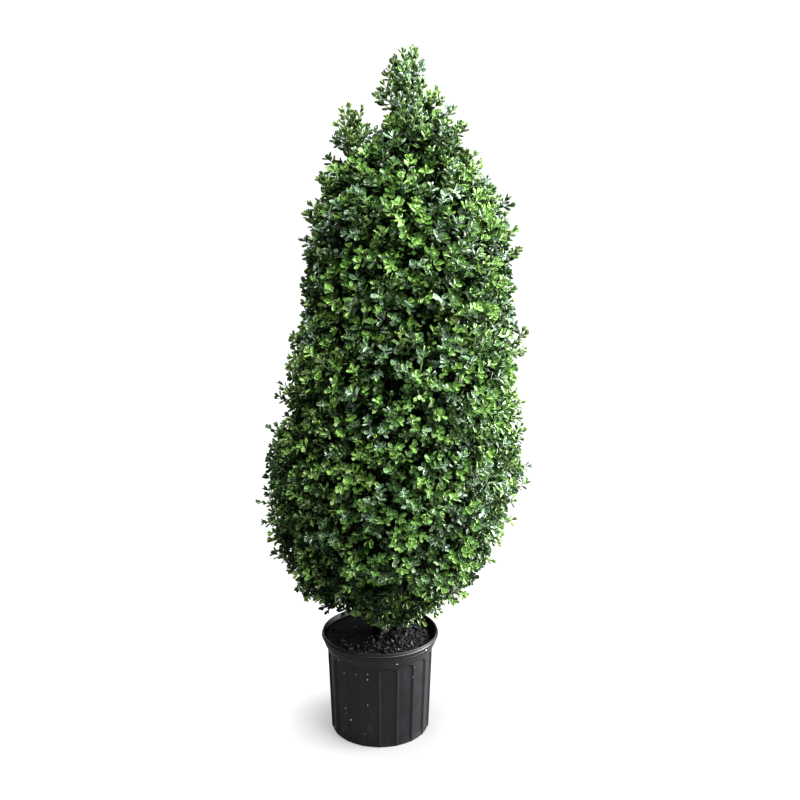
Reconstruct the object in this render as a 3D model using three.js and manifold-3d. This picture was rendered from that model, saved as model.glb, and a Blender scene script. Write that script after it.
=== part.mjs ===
// A boxwood cone topiary, 1.22 m tall, that stands in a round black nursery pot.
// Millimetres, +Z up. The origin is the centre of the pot's flat underside, and -Y is the front.
// One trunk runs up through the clipped crown. The crown is six masses of foliage stacked up the
// trunk, and each is a lumpy core with leafy sprays that stand out of it.
import * as THREE from 'three';
import { mergeVertices } from 'three/addons/utils/BufferGeometryUtils.js';
import Module from 'manifold-3d';

const wasm = await Module();
wasm.setup();

// Driving dimensions
const GAP = 0.35; // clear space between two pieces that touch
const POT = {
  height: 189, rimRadius: 107.5, collarTop: 105.2, collarRadius: 102.6, bodyRadius: 96.8,
  footRadius: 91.2, wall: 2.6, rimWall: 4.2, floor: 3, bead: 6.5, edge: 1.5,
  collarFoot: 171, shoulder: 160, // heights
};
const FLUTES = { count: 18, sunk: 2, halfWidth: 7.9, flank: 1.1, top: 156, archRise: 12 };
const SOIL = { edge: 167, top: 184, flatRadius: 24, bump: 2.4, columns: 30, clear: 1, fall: 2.2 };
const TRUNK = {
  top: 1128, footRadius: 17, radius: 11, tipRadius: 3.5, flareFade: 13, lean: 48, curve: 1.8,
  sides: 10, rings: 7, crowding: 1.5,
};
const LEAF = {
  length: 46, width: 0.6, widest: 0.56, cup: 0.03, midrib: 0.035, // shares of the length
  spread: 62, pairStep: 14, wander: 12, // degrees from the twig
  least: 0.86, most: 1.14, endLeaf: 0.9, room: 0.24, beyond: 15, // beyond the outline at most
  spots: [0.35, 0.62, 0.92], tries: [1, 0.75, 1.3, 0.5],
};
const TWIG = {
  radius: 3, sideRadius: 0.85, tipShare: 0.6, joint: 6, tipLean: 38, fork: 46, forkAt: 0.06,
  sunk: 34, stand: 0.4, step: 3, longest: 110, third: (2 * Math.PI) / 3,
};
// The two sides of a twig that each pair of leaves grows from, and how far each leaf swings round.
const PAIR_SIDES = [
  [{ side: 0, swing: -0.26 }, { side: 1, swing: 0.26 }],
  [{ side: 1, swing: -0.5 }, { side: 2, swing: 0 }],
];
const SPRAY = {
  first: 0.06, span: 0.84, steepen: 14, wander: 12, swing: 0.3, stations: [0.84, 1], sideStations: [1],
};
const CORE = {
  columns: 21, rowHeight: 35, lump: 14, above: 30, // how far its foot is above the lowest leaves
  tipRadius: 7, taper: 0.05, margin: 2, // margin: the leaves' distance from another mass's space
};

// Each mass of foliage, from the lowest up: the height and radius of its outline at its foot, its
// greatest radius and its radius at the top, how deep the leaves stand out of the core, the slope
// of its lower boundary, how steeply its sprays rise, how many there are and their leaves' scale.
const MASSES = [
  {
    name: 'crown_skirt', foot: 215, low: 92, wide: 170, high: 200, depth: 25,
    slope: 0.2, rise: -14, sprays: 11, scale: 0.98,
  },
  {
    name: 'crown_belly', foot: 345, low: 200, wide: 231, high: 212, depth: 27,
    slope: 0.05, rise: 17, sprays: 20, scale: 1.06,
  },
  {
    name: 'crown_middle', foot: 590, low: 207, wide: 210, high: 190, depth: 27,
    slope: 0.45, rise: 31, sprays: 15, scale: 1,
  },
  {
    name: 'crown_upper', foot: 768, low: 186, wide: 184, high: 150, depth: 26,
    slope: 0.6, rise: 38, sprays: 15, scale: 0.95,
  },
  {
    name: 'crown_shoulder', foot: 985, low: 150, wide: 118, high: 74, depth: 23,
    slope: 0.8, rise: 56, sprays: 9, scale: 0.85,
  },
  {
    name: 'crown_leader', foot: 1106, low: 70, wide: 50, high: 20, depth: 18,
    slope: 0.9, rise: 78, sprays: 5, scale: 0.62,
  },
];

// Shoots that stand clear of the clipped outline
const SPIRES = [
  { mass: 'crown_leader', x: 48, y: 0, lean: 2, foot: 1140, top: 1218, leaf: 30 },
  { mass: 'crown_leader', x: 110, y: -6, lean: 26, foot: 1094, top: 1152, leaf: 28 },
  { mass: 'crown_shoulder', x: -52, y: 4, lean: -10, foot: 1034, top: 1130, leaf: 30 },
  { mass: 'crown_shoulder', x: 170, y: -10, lean: 22, foot: 985, top: 1050, leaf: 30 },
  { mass: 'crown_upper', x: 200, y: 5, lean: 22, foot: 915, top: 984, leaf: 32 },
];
const SPIRE_STATIONS = [0.55, 0.78, 1];
const CROWN_TOP = 1196; // the core's outline ends here, and the leader's own leaves stand above it
const CROWN_FAR = 400; // beyond every leaf

// Where the outline swells or draws in: bearing from +X towards +Y, height, both spreads, and rise.
const SWELLINGS = [
  { bearing: 180, height: 520, across: 42, up: 95, rise: 6 },
  { bearing: 0, height: 600, across: 45, up: 120, rise: 9 },
  { bearing: 180, height: 640, across: 40, up: 60, rise: -12 },
  { bearing: 12, height: 950, across: 45, up: 70, rise: 10 },
  { bearing: 180, height: 1040, across: 34, up: 46, rise: 13 },
  { bearing: 90, height: 720, across: 40, up: 90, rise: 8 },
  { bearing: 270, height: 420, across: 45, up: 90, rise: 7 },
  { bearing: 180, height: 815, across: 40, up: 50, rise: -12 },
  { bearing: 0, height: 775, across: 40, up: 60, rise: 12 },
  { bearing: 0, height: 1090, across: 40, up: 40, rise: 12 },
];

// Colours as a viewer sees them
const COLOURS = { plastic: 0x1d1d1f, soil: 0x232326, bark: 0x5a4a36, foliage: 0x3a6a35 };

const rad = THREE.MathUtils.degToRad;
const clamp = THREE.MathUtils.clamp;

// A repeatable random number from 0 to 1.
function seeded(seed) {
  let state = seed;
  return () => {
    state = (state + 0x6d2b79f5) | 0;
    let t = Math.imul(state ^ (state >>> 15), 1 | state);
    t = (t + Math.imul(t ^ (t >>> 7), 61 | t)) ^ t;
    return ((t ^ (t >>> 14)) >>> 0) / 4294967296;
  };
}

const TRUNK_FOOT = SOIL.top + GAP;

// The trunk's line leans to +X, most near its foot.
function trunkX(z) {
  const share = clamp((z - TRUNK_FOOT) / (TRUNK.top - TRUNK_FOOT), 0, 1);
  return TRUNK.lean * (1 - Math.pow(1 - share, TRUNK.curve));
}

// A closed skin over rings of points, each ring with the same number of points, or one at an end.
function skin(rings) {
  const position = [];
  const start = rings.map((ring) => {
    const first = position.length / 3;
    ring.forEach((p) => position.push(p.x, p.y, p.z));
    return first;
  });
  const index = [];
  const sides = Math.max(...rings.map((ring) => ring.length));
  for (let i = 0; i + 1 < rings.length; i += 1) {
    for (let j = 0; j < sides; j += 1) {
      const k = (j + 1) % sides;
      const [a, b] = [start[i], start[i + 1]];
      if (rings[i].length === 1) index.push(a, b + k, b + j);
      else if (rings[i + 1].length === 1) index.push(a + j, a + k, b);
      else index.push(a + j, a + k, b + k, a + j, b + k, b + j);
    }
  }
  const geometry = new THREE.BufferGeometry();
  geometry.setAttribute('position', new THREE.Float32BufferAttribute(position, 3));
  geometry.setIndex(index);
  return geometry;
}

// A point at a bearing and radius round an axis that stands at x.
function polar(x, radius, bearing, z) {
  return new THREE.Vector3(x + radius * Math.cos(bearing), radius * Math.sin(bearing), z);
}

function solidOf(geometry) {
  const bare = new THREE.BufferGeometry();
  bare.setAttribute('position', geometry.getAttribute('position'));
  bare.setIndex(geometry.getIndex());
  const merged = mergeVertices(bare, 1e-3);
  return new wasm.Manifold(new wasm.Mesh({
    numProp: 3,
    vertProperties: new Float32Array(merged.getAttribute('position').array),
    triVerts: new Uint32Array(merged.getIndex().array),
  }));
}

function geometryOf(solid) {
  const mesh = solid.getMesh();
  const geometry = new THREE.BufferGeometry();
  geometry.setAttribute('position', new THREE.Float32BufferAttribute(mesh.vertProperties, 3));
  geometry.setIndex(new THREE.Uint32BufferAttribute(mesh.triVerts, 1));
  return geometry;
}

function lookOf(colour, roughness) {
  return new THREE.MeshStandardMaterial({ color: colour, roughness, metalness: 0, flatShading: true });
}

// The pot: one turned skin down the outside and up the inside, its outer wall pressed in as a ring
// of flutes whose tops are arches.
function potRow(radius, z, sunk = 0, halfWidth = FLUTES.halfWidth) {
  const row = [];
  for (let i = 0; i < FLUTES.count; i += 1) {
    const middle = (360 * i) / FLUTES.count;
    const outer = halfWidth + FLUTES.flank;
    row.push(polar(0, radius, rad(middle - outer), z));
    row.push(polar(0, radius - sunk, rad(middle - halfWidth), z));
    row.push(polar(0, radius - sunk, rad(middle + halfWidth), z));
    row.push(polar(0, radius, rad(middle + outer), z));
  }
  return row;
}

const INNER_WALL = [
  { z: POT.floor, radius: POT.footRadius - FLUTES.sunk - POT.wall },
  { z: POT.shoulder - POT.wall, radius: POT.bodyRadius - FLUTES.sunk - POT.wall },
  { z: POT.collarFoot, radius: POT.collarRadius - POT.wall },
  { z: POT.height, radius: POT.rimRadius - POT.rimWall },
];

function innerRadius(z) {
  const above = Math.max(1, INNER_WALL.findIndex((row) => row.z >= z));
  const [low, high] = [INNER_WALL[above - 1], INNER_WALL[above]];
  return low.radius + ((high.radius - low.radius) * (z - low.z)) / (high.z - low.z);
}

function makePot() {
  const bead = POT.height - POT.bead;
  const { sunk, halfWidth, top, archRise } = FLUTES;
  return skin([
    [new THREE.Vector3(0, 0, 0)],
    potRow(POT.footRadius - POT.edge, 0, sunk),
    potRow(POT.footRadius, 2.5 * POT.edge, sunk),
    potRow(POT.bodyRadius, top - archRise, sunk),
    potRow(POT.bodyRadius, top - 0.35 * archRise, sunk, 0.7 * halfWidth),
    potRow(POT.bodyRadius, top, 0, 0.25 * halfWidth),
    potRow(POT.bodyRadius + POT.edge / 2, POT.shoulder),
    potRow(POT.collarRadius, POT.collarFoot),
    potRow(POT.collarTop, bead - POT.edge),
    potRow(POT.rimRadius, bead),
    potRow(POT.rimRadius, POT.height - POT.edge),
    potRow(POT.rimRadius - POT.edge, POT.height),
    ...INNER_WALL.slice().reverse().map((row) => potRow(row.radius, row.z)),
    [new THREE.Vector3(0, 0, POT.floor)],
  ]);
}

// The soil fills the pot to a low mound with a rough top, and is flat under the trunk's foot.
function makeSoil() {
  const random = seeded(11);
  const ring = (radius, z, bump = 0) => Array.from({ length: SOIL.columns }, (_, i) => {
    const lift = bump * (random() - 0.5) * 2;
    return polar(0, radius, (2 * Math.PI * (i + 0.5)) / SOIL.columns, z + lift);
  });
  const againstWall = (z) => ring(innerRadius(z) - SOIL.clear, z);
  const mound = (share) => {
    const radius = SOIL.flatRadius + share * (innerRadius(SOIL.edge) - SOIL.clear - SOIL.flatRadius);
    return ring(radius, SOIL.top - (SOIL.top - SOIL.edge) * Math.pow(share, SOIL.fall), SOIL.bump);
  };
  return skin([
    [new THREE.Vector3(0, 0, POT.floor + GAP)],
    againstWall(POT.floor + GAP),
    againstWall(POT.shoulder - POT.wall),
    againstWall(SOIL.edge),
    ...[0.86, 0.66, 0.42, 0.2].map(mound),
    ring(SOIL.flatRadius, SOIL.top),
    [new THREE.Vector3(0, 0, SOIL.top)],
  ]);
}

// The trunk: a leaning, tapering limb with a root flare, from a flat cut to its tip. Grown by
// extra all over, and carried down by extra at its foot, it is the room that others keep clear.
function makeTrunk(extra = 0) {
  const rings = [];
  for (let i = 0; i <= TRUNK.rings; i += 1) {
    const share = Math.pow(i / TRUNK.rings, TRUNK.crowding);
    const z = TRUNK_FOOT + share * (TRUNK.top - TRUNK_FOOT);
    const flare = Math.exp(-(z - TRUNK_FOOT) / TRUNK.flareFade);
    const taper = TRUNK.radius + (TRUNK.tipRadius - TRUNK.radius) * share;
    const radius = taper + (TRUNK.footRadius - TRUNK.radius) * flare + extra;
    const height = z + (i === 0 ? -extra : 0) + (i === TRUNK.rings ? extra : 0);
    rings.push(Array.from({ length: TRUNK.sides }, (_, j) => (
      polar(trunkX(z), radius, (2 * Math.PI * j) / TRUNK.sides, height)
    )));
  }
  const centre = (z, ring) => [new THREE.Vector3(trunkX(z), 0, ring[0].z)];
  return skin([centre(TRUNK_FOOT, rings[0]), ...rings, centre(TRUNK.top, rings[TRUNK.rings])]);
}

// The number of the mass whose outline a height lies on.
function massAt(z) {
  return Math.max(0, MASSES.findLastIndex((mass) => z >= mass.foot));
}

function topOf(i) {
  return i + 1 < MASSES.length ? MASSES[i + 1].foot : CROWN_TOP;
}

// The radius of the crown's outline at a height, before it swells: an arc through each mass's
// radius at its foot, at its middle and at its top.
function plainRadius(z) {
  const i = massAt(z);
  const { foot, low, wide, high } = MASSES[i];
  const t = clamp((z - foot) / (topOf(i) - foot), 0, 1);
  return low + (high - low) * t + 4 * (wide - (low + high) / 2) * t * (1 - t);
}

function outlineRadius(z, bearing) {
  const swell = SWELLINGS.reduce((sum, s) => {
    let turn = THREE.MathUtils.radToDeg(bearing) - s.bearing;
    turn -= 360 * Math.round(turn / 360);
    return sum + s.rise * Math.exp(-((turn / s.across) ** 2) - ((z - s.height) / s.up) ** 2);
  }, 0);
  return plainRadius(z) + swell;
}

// The whole crown's core, a lumpy skin that follows the outline.
function crownCore() {
  const random = seeded(5);
  const foot = MASSES[0].foot + CORE.above;
  const steps = Math.round((CROWN_TOP - foot) / CORE.rowHeight);
  const rings = [];
  for (let i = 0; i <= steps; i += 1) {
    const z = foot + ((CROWN_TOP - foot) * i) / steps;
    const half = (i % 2) / 2;
    rings.push(Array.from({ length: CORE.columns }, (_, j) => {
      const bearing = (2 * Math.PI * (j + half)) / CORE.columns;
      const deep = MASSES[massAt(z)].depth + CORE.lump * (random() - 0.5);
      const least = CORE.tipRadius + CORE.taper * (CROWN_TOP - z);
      return polar(trunkX(z), Math.max(least, outlineRadius(z, bearing) - deep), bearing, z);
    }));
  }
  const end = (z) => [new THREE.Vector3(trunkX(z), 0, z)];
  return solidOf(skin([end(foot), ...rings, end(CROWN_TOP)]));
}

// Between two masses lies a cone that opens upwards, level with the lower edge of the upper mass.
function boundaryHeight(i, x, y) {
  const mass = MASSES[i];
  return mass.foot + mass.slope * (Math.hypot(x - trunkX(mass.foot), y) - mass.low);
}

// Everything under the boundary at the foot of mass i, moved up by shift.
function roomUnder(i, shift) {
  const mass = MASSES[i];
  const profile = [
    new THREE.Vector2(0, 0),
    new THREE.Vector2(CROWN_FAR, 0),
    new THREE.Vector2(CROWN_FAR, mass.foot + mass.slope * (CROWN_FAR - mass.low) + shift),
    new THREE.Vector2(0, mass.foot - mass.slope * mass.low + shift),
  ];
  const lathe = new THREE.LatheGeometry(profile, CORE.columns);
  lathe.rotateX(Math.PI / 2);
  lathe.translate(trunkX(mass.foot), 0, 0);
  return solidOf(lathe);
}

function insideMass(i, points) {
  return points.every((p) => (
    p.z > boundaryHeight(i, p.x, p.y) + CORE.margin
    && (i + 1 === MASSES.length || p.z < boundaryHeight(i + 1, p.x, p.y) - CORE.margin)
  ));
}

// How far a point stands out of the plain core, and how far it still is inside the outline.
function depthsAt(p) {
  const radius = Math.hypot(p.x - trunkX(p.z), p.y);
  const outline = outlineRadius(p.z, Math.atan2(p.y, p.x - trunkX(p.z)));
  return { outside: radius - outline + MASSES[massAt(p.z)].depth, inside: outline - radius };
}

// How far a twig runs from its root until it stands out of the core by a given depth.
function runTo(stand, root, heading) {
  let run = TWIG.step;
  while (run < TWIG.longest && depthsAt(root.clone().addScaledVector(heading, run)).outside < stand) {
    run += TWIG.step;
  }
  return run;
}

// Two unit vectors square to a direction and to each other.
function squareTo(direction) {
  const up = Math.abs(direction.z) > 0.9 ? new THREE.Vector3(1, 0, 0) : new THREE.Vector3(0, 0, 1);
  const side = new THREE.Vector3().crossVectors(up, direction).normalize();
  return [side, new THREE.Vector3().crossVectors(direction, side)];
}

// The corners of a leaf that heads out of a twig: its two sides, its midrib and its tip.
function leafCorners(from, heading, out, spread, size) {
  const along = heading.clone().multiplyScalar(Math.cos(spread)).addScaledVector(out, Math.sin(spread));
  const up = heading.clone().multiplyScalar(Math.sin(spread)).addScaledVector(out, -Math.cos(spread));
  const right = new THREE.Vector3().crossVectors(heading, out);
  const at = (share, across, lift) => from.clone()
    .addScaledVector(along, share * size)
    .addScaledVector(right, across * size)
    .addScaledVector(up, lift * size);
  return {
    corners: [
      at(LEAF.widest, -LEAF.width / 2, -LEAF.cup),
      at(LEAF.widest, LEAF.width / 2, -LEAF.cup),
      at(LEAF.widest, 0, LEAF.midrib),
      at(1, 0, -LEAF.cup),
    ],
    spots: LEAF.spots.map((share) => at(share, 0, 0)),
  };
}

// A leafy twig of three sides. Each leaf grows out of one triangle of the twig's skin: three edges
// widen from it to the leaf's two sides and midrib, and close at its tip. Leaves stand in pairs,
// each turned a quarter from the one below, with one more leaf at the twig's end. A leaf that has
// no room stands closer to its twig, or is skipped, and a twig that leaves its mass is skipped.
function leafyTwig(space, twig, random) {
  const { root, heading, run, radius, leafLength, stations, beyond } = twig;
  const [side, face] = squareTo(heading);
  const position = [];
  const index = [];
  const put = (p) => position.push(p) - 1;
  const around = (turn) => side.clone().multiplyScalar(Math.cos(turn)).addScaledVector(face, Math.sin(turn));
  const firstTurn = random() * Math.PI;
  const stops = [{ at: 0, turn: firstTurn }, { at: stations[0] * run - TWIG.joint, turn: firstTurn }];
  stations.forEach((share, pair) => {
    stops.push({ at: share * run, turn: firstTurn - (pair * TWIG.third) / 4, pair });
  });
  const rings = stops.map(({ at, turn }) => {
    const reach = radius * (1 - (1 - TWIG.tipShare) * (at / run));
    const middle = root.clone().addScaledVector(heading, at);
    return [0, 1, 2].map((j) => put(middle.clone().addScaledVector(around(turn + j * TWIG.third), reach)));
  });
  if (!insideMass(space.i, position)) return null;

  const hasRoom = (corners, spots, size) => insideMass(space.i, corners) && spots.every((spot) => {
    const { outside, inside } = depthsAt(spot);
    const isFree = space.taken.every((other) => other.distanceTo(spot) > LEAF.room * size);
    return isFree && outside > 0 && inside > -beyond;
  });
  const grow = (base, out, spread, size) => LEAF.tries.some((share) => {
    const from = base.reduce((sum, n) => sum.add(position[n]), new THREE.Vector3()).divideScalar(3);
    const { corners, spots } = leafCorners(from, heading, out, spread * share, size);
    if (!hasRoom(corners, spots, size)) return false;
    space.taken.push(...spots);
    const [left, right, rib, tip] = corners.map(put);
    const ring = [left, right, rib];
    for (let e = 0; e < 3; e += 1) {
      const next = (e + 1) % 3;
      index.push(base[e], base[next], ring[next], base[e], ring[next], ring[e], ring[e], ring[next], tip);
    }
    return true;
  });

  const [foot, end] = [rings[0], rings[rings.length - 1]];
  index.push(foot[0], foot[2], foot[1]);
  for (let r = 0; r + 1 < rings.length; r += 1) {
    const { turn, pair = 0 } = stops[r + 1];
    const places = r > 0 ? PAIR_SIDES[pair % 2] : [];
    for (let j = 0; j < 3; j += 1) {
      const k = (j + 1) % 3;
      const [a, b] = [rings[r], rings[r + 1]];
      const base = [a[j], a[k], b[k]];
      const place = places.find((p) => p.side === j);
      const spread = rad(LEAF.spread - LEAF.pairStep * pair + LEAF.wander * (random() - 0.5));
      const size = leafLength * THREE.MathUtils.lerp(LEAF.least, LEAF.most, random());
      const out = around(turn + (j + 0.5) * TWIG.third + (place ? place.swing : 0));
      if (!place || !grow(base, out, spread, size)) index.push(...base);
      index.push(a[j], b[k], b[j]);
    }
  }
  const back = around(stops[stops.length - 1].turn).negate();
  const hasEndLeaf = grow([end[1], end[2], end[0]], back, rad(TWIG.tipLean), LEAF.endLeaf * leafLength);
  if (!hasEndLeaf) index.push(...end);

  const geometry = new THREE.BufferGeometry();
  const flat = position.flatMap((p) => [p.x, p.y, p.z]);
  geometry.setAttribute('position', new THREE.Float32BufferAttribute(flat, 3));
  geometry.setIndex(index);
  return solidOf(geometry);
}

// A spray: a leafy twig from which two side twigs fork, one to each side.
function spray(space, root, direction, random) {
  const { depth, scale } = MASSES[space.i];
  const stand = TWIG.stand * depth;
  const shared = { leafLength: LEAF.length * scale, beyond: LEAF.beyond };
  const radius = TWIG.radius * Math.sqrt(scale);
  const [side, face] = squareTo(direction);
  const turn = random() * 2 * Math.PI;
  const run = runTo(stand, root, direction);
  const stem = { ...shared, root, heading: direction, run, radius, stations: SPRAY.stations };
  const twigs = [leafyTwig(space, stem, random)];
  for (const angle of [turn, turn + Math.PI]) {
    const out = side.clone().multiplyScalar(Math.cos(angle)).addScaledVector(face, Math.sin(angle));
    const lean = rad(TWIG.fork);
    const heading = direction.clone().multiplyScalar(Math.cos(lean)).addScaledVector(out, Math.sin(lean));
    const fork = root.clone().addScaledVector(direction, TWIG.forkAt * run);
    const sideTwig = {
      ...shared, root: fork, heading, run: runTo(stand, fork, heading),
      radius: TWIG.sideRadius * radius, stations: SPRAY.sideStations,
    };
    twigs.push(leafyTwig(space, sideTwig, random));
  }
  return twigs.filter((twig) => twig);
}

// A shoot that stands clear of the clipped outline.
function spire(space, { x, y, lean, foot, top, leaf }, random) {
  const climb = top - foot - leaf * Math.cos(rad(TWIG.tipLean));
  const heading = new THREE.Vector3(lean, 0, climb).normalize();
  return leafyTwig(space, {
    root: new THREE.Vector3(x - lean, y, foot), heading, run: climb / heading.z, radius: TWIG.radius,
    leafLength: leaf, stations: SPIRE_STATIONS, beyond: CROWN_FAR,
  }, random);
}

// The largest body of a solid, as the mesh that leaves this file: no loose scrap, no sealed hollow.
function soundGeometry(solid) {
  const largest = (whole) => whole.decompose().sort((a, b) => b.volume() - a.volume())[0];
  const lean = largest(solid).simplify(0.02);
  return geometryOf(largest(solidOf(geometryOf(lean))));
}

// The slice of the core that one mass keeps.
function coreSlice(i, core) {
  const under = i + 1 < MASSES.length ? core.intersect(roomUnder(i + 1, -GAP / 2)) : core;
  return i > 0 ? under.subtract(roomUnder(i, GAP / 2)) : under;
}

// The sprays of one mass stand round it in a spiral, and steepen towards its top.
function spraysOf(space, random) {
  const i = space.i;
  const mass = MASSES[i];
  const golden = Math.PI * (3 - Math.sqrt(5));
  const first = i === 0 ? CORE.above / (topOf(i) - mass.foot) : SPRAY.first;
  return Array.from({ length: mass.sprays }).flatMap((_, k) => {
    const share = (k + 0.5) / mass.sprays;
    const z = mass.foot + (topOf(i) - mass.foot) * (first + (SPRAY.span + SPRAY.first - first) * share);
    const bearing = k * golden + i;
    const rise = rad(mass.rise + SPRAY.steepen * (share - 0.5) + SPRAY.wander * (random() - 0.5));
    const swing = bearing + SPRAY.swing * (random() - 0.5);
    const direction = polar(0, Math.cos(rise), swing, Math.sin(rise));
    const surface = outlineRadius(z, bearing) - mass.depth;
    const root = polar(trunkX(z), surface - Math.min(TWIG.sunk, surface / 2), bearing, z);
    return spray(space, root, direction, random);
  });
}

// One mass: its slice of the core with its sprays fused on, cut clear of the trunk.
function makeMass(i, core, trunkRoom) {
  const random = seeded(101 + i);
  const space = { i, taken: [] };
  const sprays = spraysOf(space, random);
  const spires = SPIRES.filter(({ mass }) => mass === MASSES[i].name).map((s) => spire(space, s, random));
  const fused = wasm.Manifold.union([coreSlice(i, core), ...sprays, ...spires]);
  return soundGeometry(fused.subtract(trunkRoom));
}

const topiary = new THREE.Group();

function add(name, geometry, colour, roughness) {
  const mesh = new THREE.Mesh(geometry, lookOf(colour, roughness));
  mesh.name = name;
  topiary.add(mesh);
}

add('nursery_pot', makePot(), COLOURS.plastic, 0.45);
add('potting_soil', makeSoil(), COLOURS.soil, 0.95);
add('trunk', makeTrunk(), COLOURS.bark, 0.85);

const trunkRoom = solidOf(makeTrunk(GAP));
const core = crownCore();
MASSES.forEach((mass, i) => {
  add(mass.name, makeMass(i, core, trunkRoom), COLOURS.foliage, 0.6);
});

export default topiary;
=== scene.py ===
"""A clipped boxwood cone topiary with moulded leaves, in a round black nursery pot.

Metres, +Z up, in the shared frame: the origin is the centre of the pot's flat underside and -Y
is the front. The crown follows the same outline and the same branching rule as its solids, and
carries it on to finer twigs and to leaves at their own size.
"""
import logging
from dataclasses import dataclass
from enum import Enum
from typing import Any

import bpy
import numpy as np
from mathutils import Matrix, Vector


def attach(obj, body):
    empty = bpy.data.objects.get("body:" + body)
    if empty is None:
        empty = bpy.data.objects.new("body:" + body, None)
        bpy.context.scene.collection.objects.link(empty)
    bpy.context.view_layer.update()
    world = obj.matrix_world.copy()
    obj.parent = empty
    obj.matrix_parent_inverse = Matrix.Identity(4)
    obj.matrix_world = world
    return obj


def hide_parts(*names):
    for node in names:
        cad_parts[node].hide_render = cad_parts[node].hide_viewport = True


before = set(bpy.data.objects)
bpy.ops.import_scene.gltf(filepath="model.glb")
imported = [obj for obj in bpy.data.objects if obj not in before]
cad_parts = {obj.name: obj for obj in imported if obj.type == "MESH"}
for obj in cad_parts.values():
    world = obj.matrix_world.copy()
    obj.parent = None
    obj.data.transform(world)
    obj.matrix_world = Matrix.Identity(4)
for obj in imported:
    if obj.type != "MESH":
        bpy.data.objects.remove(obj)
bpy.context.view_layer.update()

LOG = logging.getLogger("topiary")
Array = np.ndarray
Socket = bpy.types.NodeSocket
COLOUR = "NodeSocketColor"
NUMBER = "NodeSocketFloat"
GOLDEN_ANGLE = np.pi * (3 - np.sqrt(5))
BODY = "root"
MILLIMETRES = 1000
STEEP = 0.9
PATCH_LOW = 0.35
PATCH_HIGH = 0.65
HEX_BASE = 16
HEX_TOP = 255
SRGB_TOE_END = 0.04045
SRGB_TOE_SLOPE = 12.92
SRGB_SHIFT = 0.055
SRGB_POWER = 2.4


def unit(vectors: Array) -> Array:
    """Scale each vector along the last axis to length one: v / |v|."""
    return vectors / np.linalg.norm(vectors, axis=-1, keepdims=True)


def smooth_step(low: float, high: float, value: Array) -> Array:
    """Ease from 0 to 1 as the value goes from low to high: 3 s^2 - 2 s^3 of its share s."""
    share = np.clip((value - low) / (high - low), 0, 1)
    return share * share * (3 - 2 * share)


def lattice_noise(across: Array, along: Array, period: int, seed: int) -> Array:
    """Smooth random heights from -1 to 1: random values on a unit lattice, eased between.

    Args:
        across: first coordinate in cells, which repeats after period cells.
        along: second coordinate in cells.
        period: how many cells there are before the lattice repeats.
        seed: the seed of the lattice.

    Returns:
        Heights, in an array of the coordinates' shape.
    """
    lattice = np.random.default_rng(seed).uniform(-1, 1, (period, period))
    column = np.floor(across).astype(int)
    row = np.floor(along).astype(int)
    over = smooth_step(0, 1, across - column)
    up = smooth_step(0, 1, along - row)
    left = column % period
    right = (column + 1) % period
    low = row % period
    high = (row + 1) % period
    under = lattice[left, low] * (1 - over) + lattice[right, low] * over
    above = lattice[left, high] * (1 - over) + lattice[right, high] * over
    return under * (1 - up) + above * up


def round_axis(
    radius: Array | float, turn: Array, height: Array | float, centre: Array | float = 0.0,
) -> Array:
    """Place points round an upright line: (centre + radius cos turn, radius sin turn, height)."""
    across = centre + radius * np.cos(turn)
    return np.stack(np.broadcast_arrays(across, radius * np.sin(turn), height), axis=-1)


def shell_faces(rows: int, columns: int) -> Array:
    """List the triangles of a closed skin over rings of points, with a pole at each end.

    Vertex 0 is the first pole, ring i starts at 1 + i * columns, and the last vertex is the other
    pole. Rings that turn left about the way they advance give faces that point outwards.

    Args:
        rows: how many rings there are.
        columns: how many points a ring has.

    Returns:
        Whole numbers of shape (triangles, 3).
    """
    here = np.arange(columns)
    after = (here + 1) % columns
    ring = 1 + np.arange(rows - 1)[:, None] * columns
    a, b = ring + here, ring + after
    lower = np.stack([a, b, b + columns], axis=-1).reshape(-1, 3)
    upper = np.stack([a, b + columns, a + columns], axis=-1).reshape(-1, 3)
    start = np.stack([np.zeros(columns, int), 1 + after, 1 + here], axis=-1)
    top = 1 + (rows - 1) * columns
    end = np.stack([np.full(columns, rows * columns + 1), top + here, top + after], axis=-1)
    return np.concatenate([start, lower, upper, end])


def joined(vertices: Array, triangles: Array) -> tuple[Array, Array]:
    """Join copies of one shape, given as (copies, points, 3) and its triangles, into one mesh."""
    copies, points = vertices.shape[:2]
    offsets = np.arange(copies)[:, None, None] * points
    return vertices.reshape(-1, 3), (triangles[None] + offsets).reshape(-1, 3)


def merged(parts: list[tuple[Array, Array]]) -> tuple[Array, Array]:
    """Put several meshes, each given as its points and triangles, into one."""
    shifts = np.cumsum([0] + [len(points) for points, _ in parts])
    faces = [triangles + shift for (_, triangles), shift in zip(parts, shifts)]
    return np.concatenate([points for points, _ in parts]), np.concatenate(faces)


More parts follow.
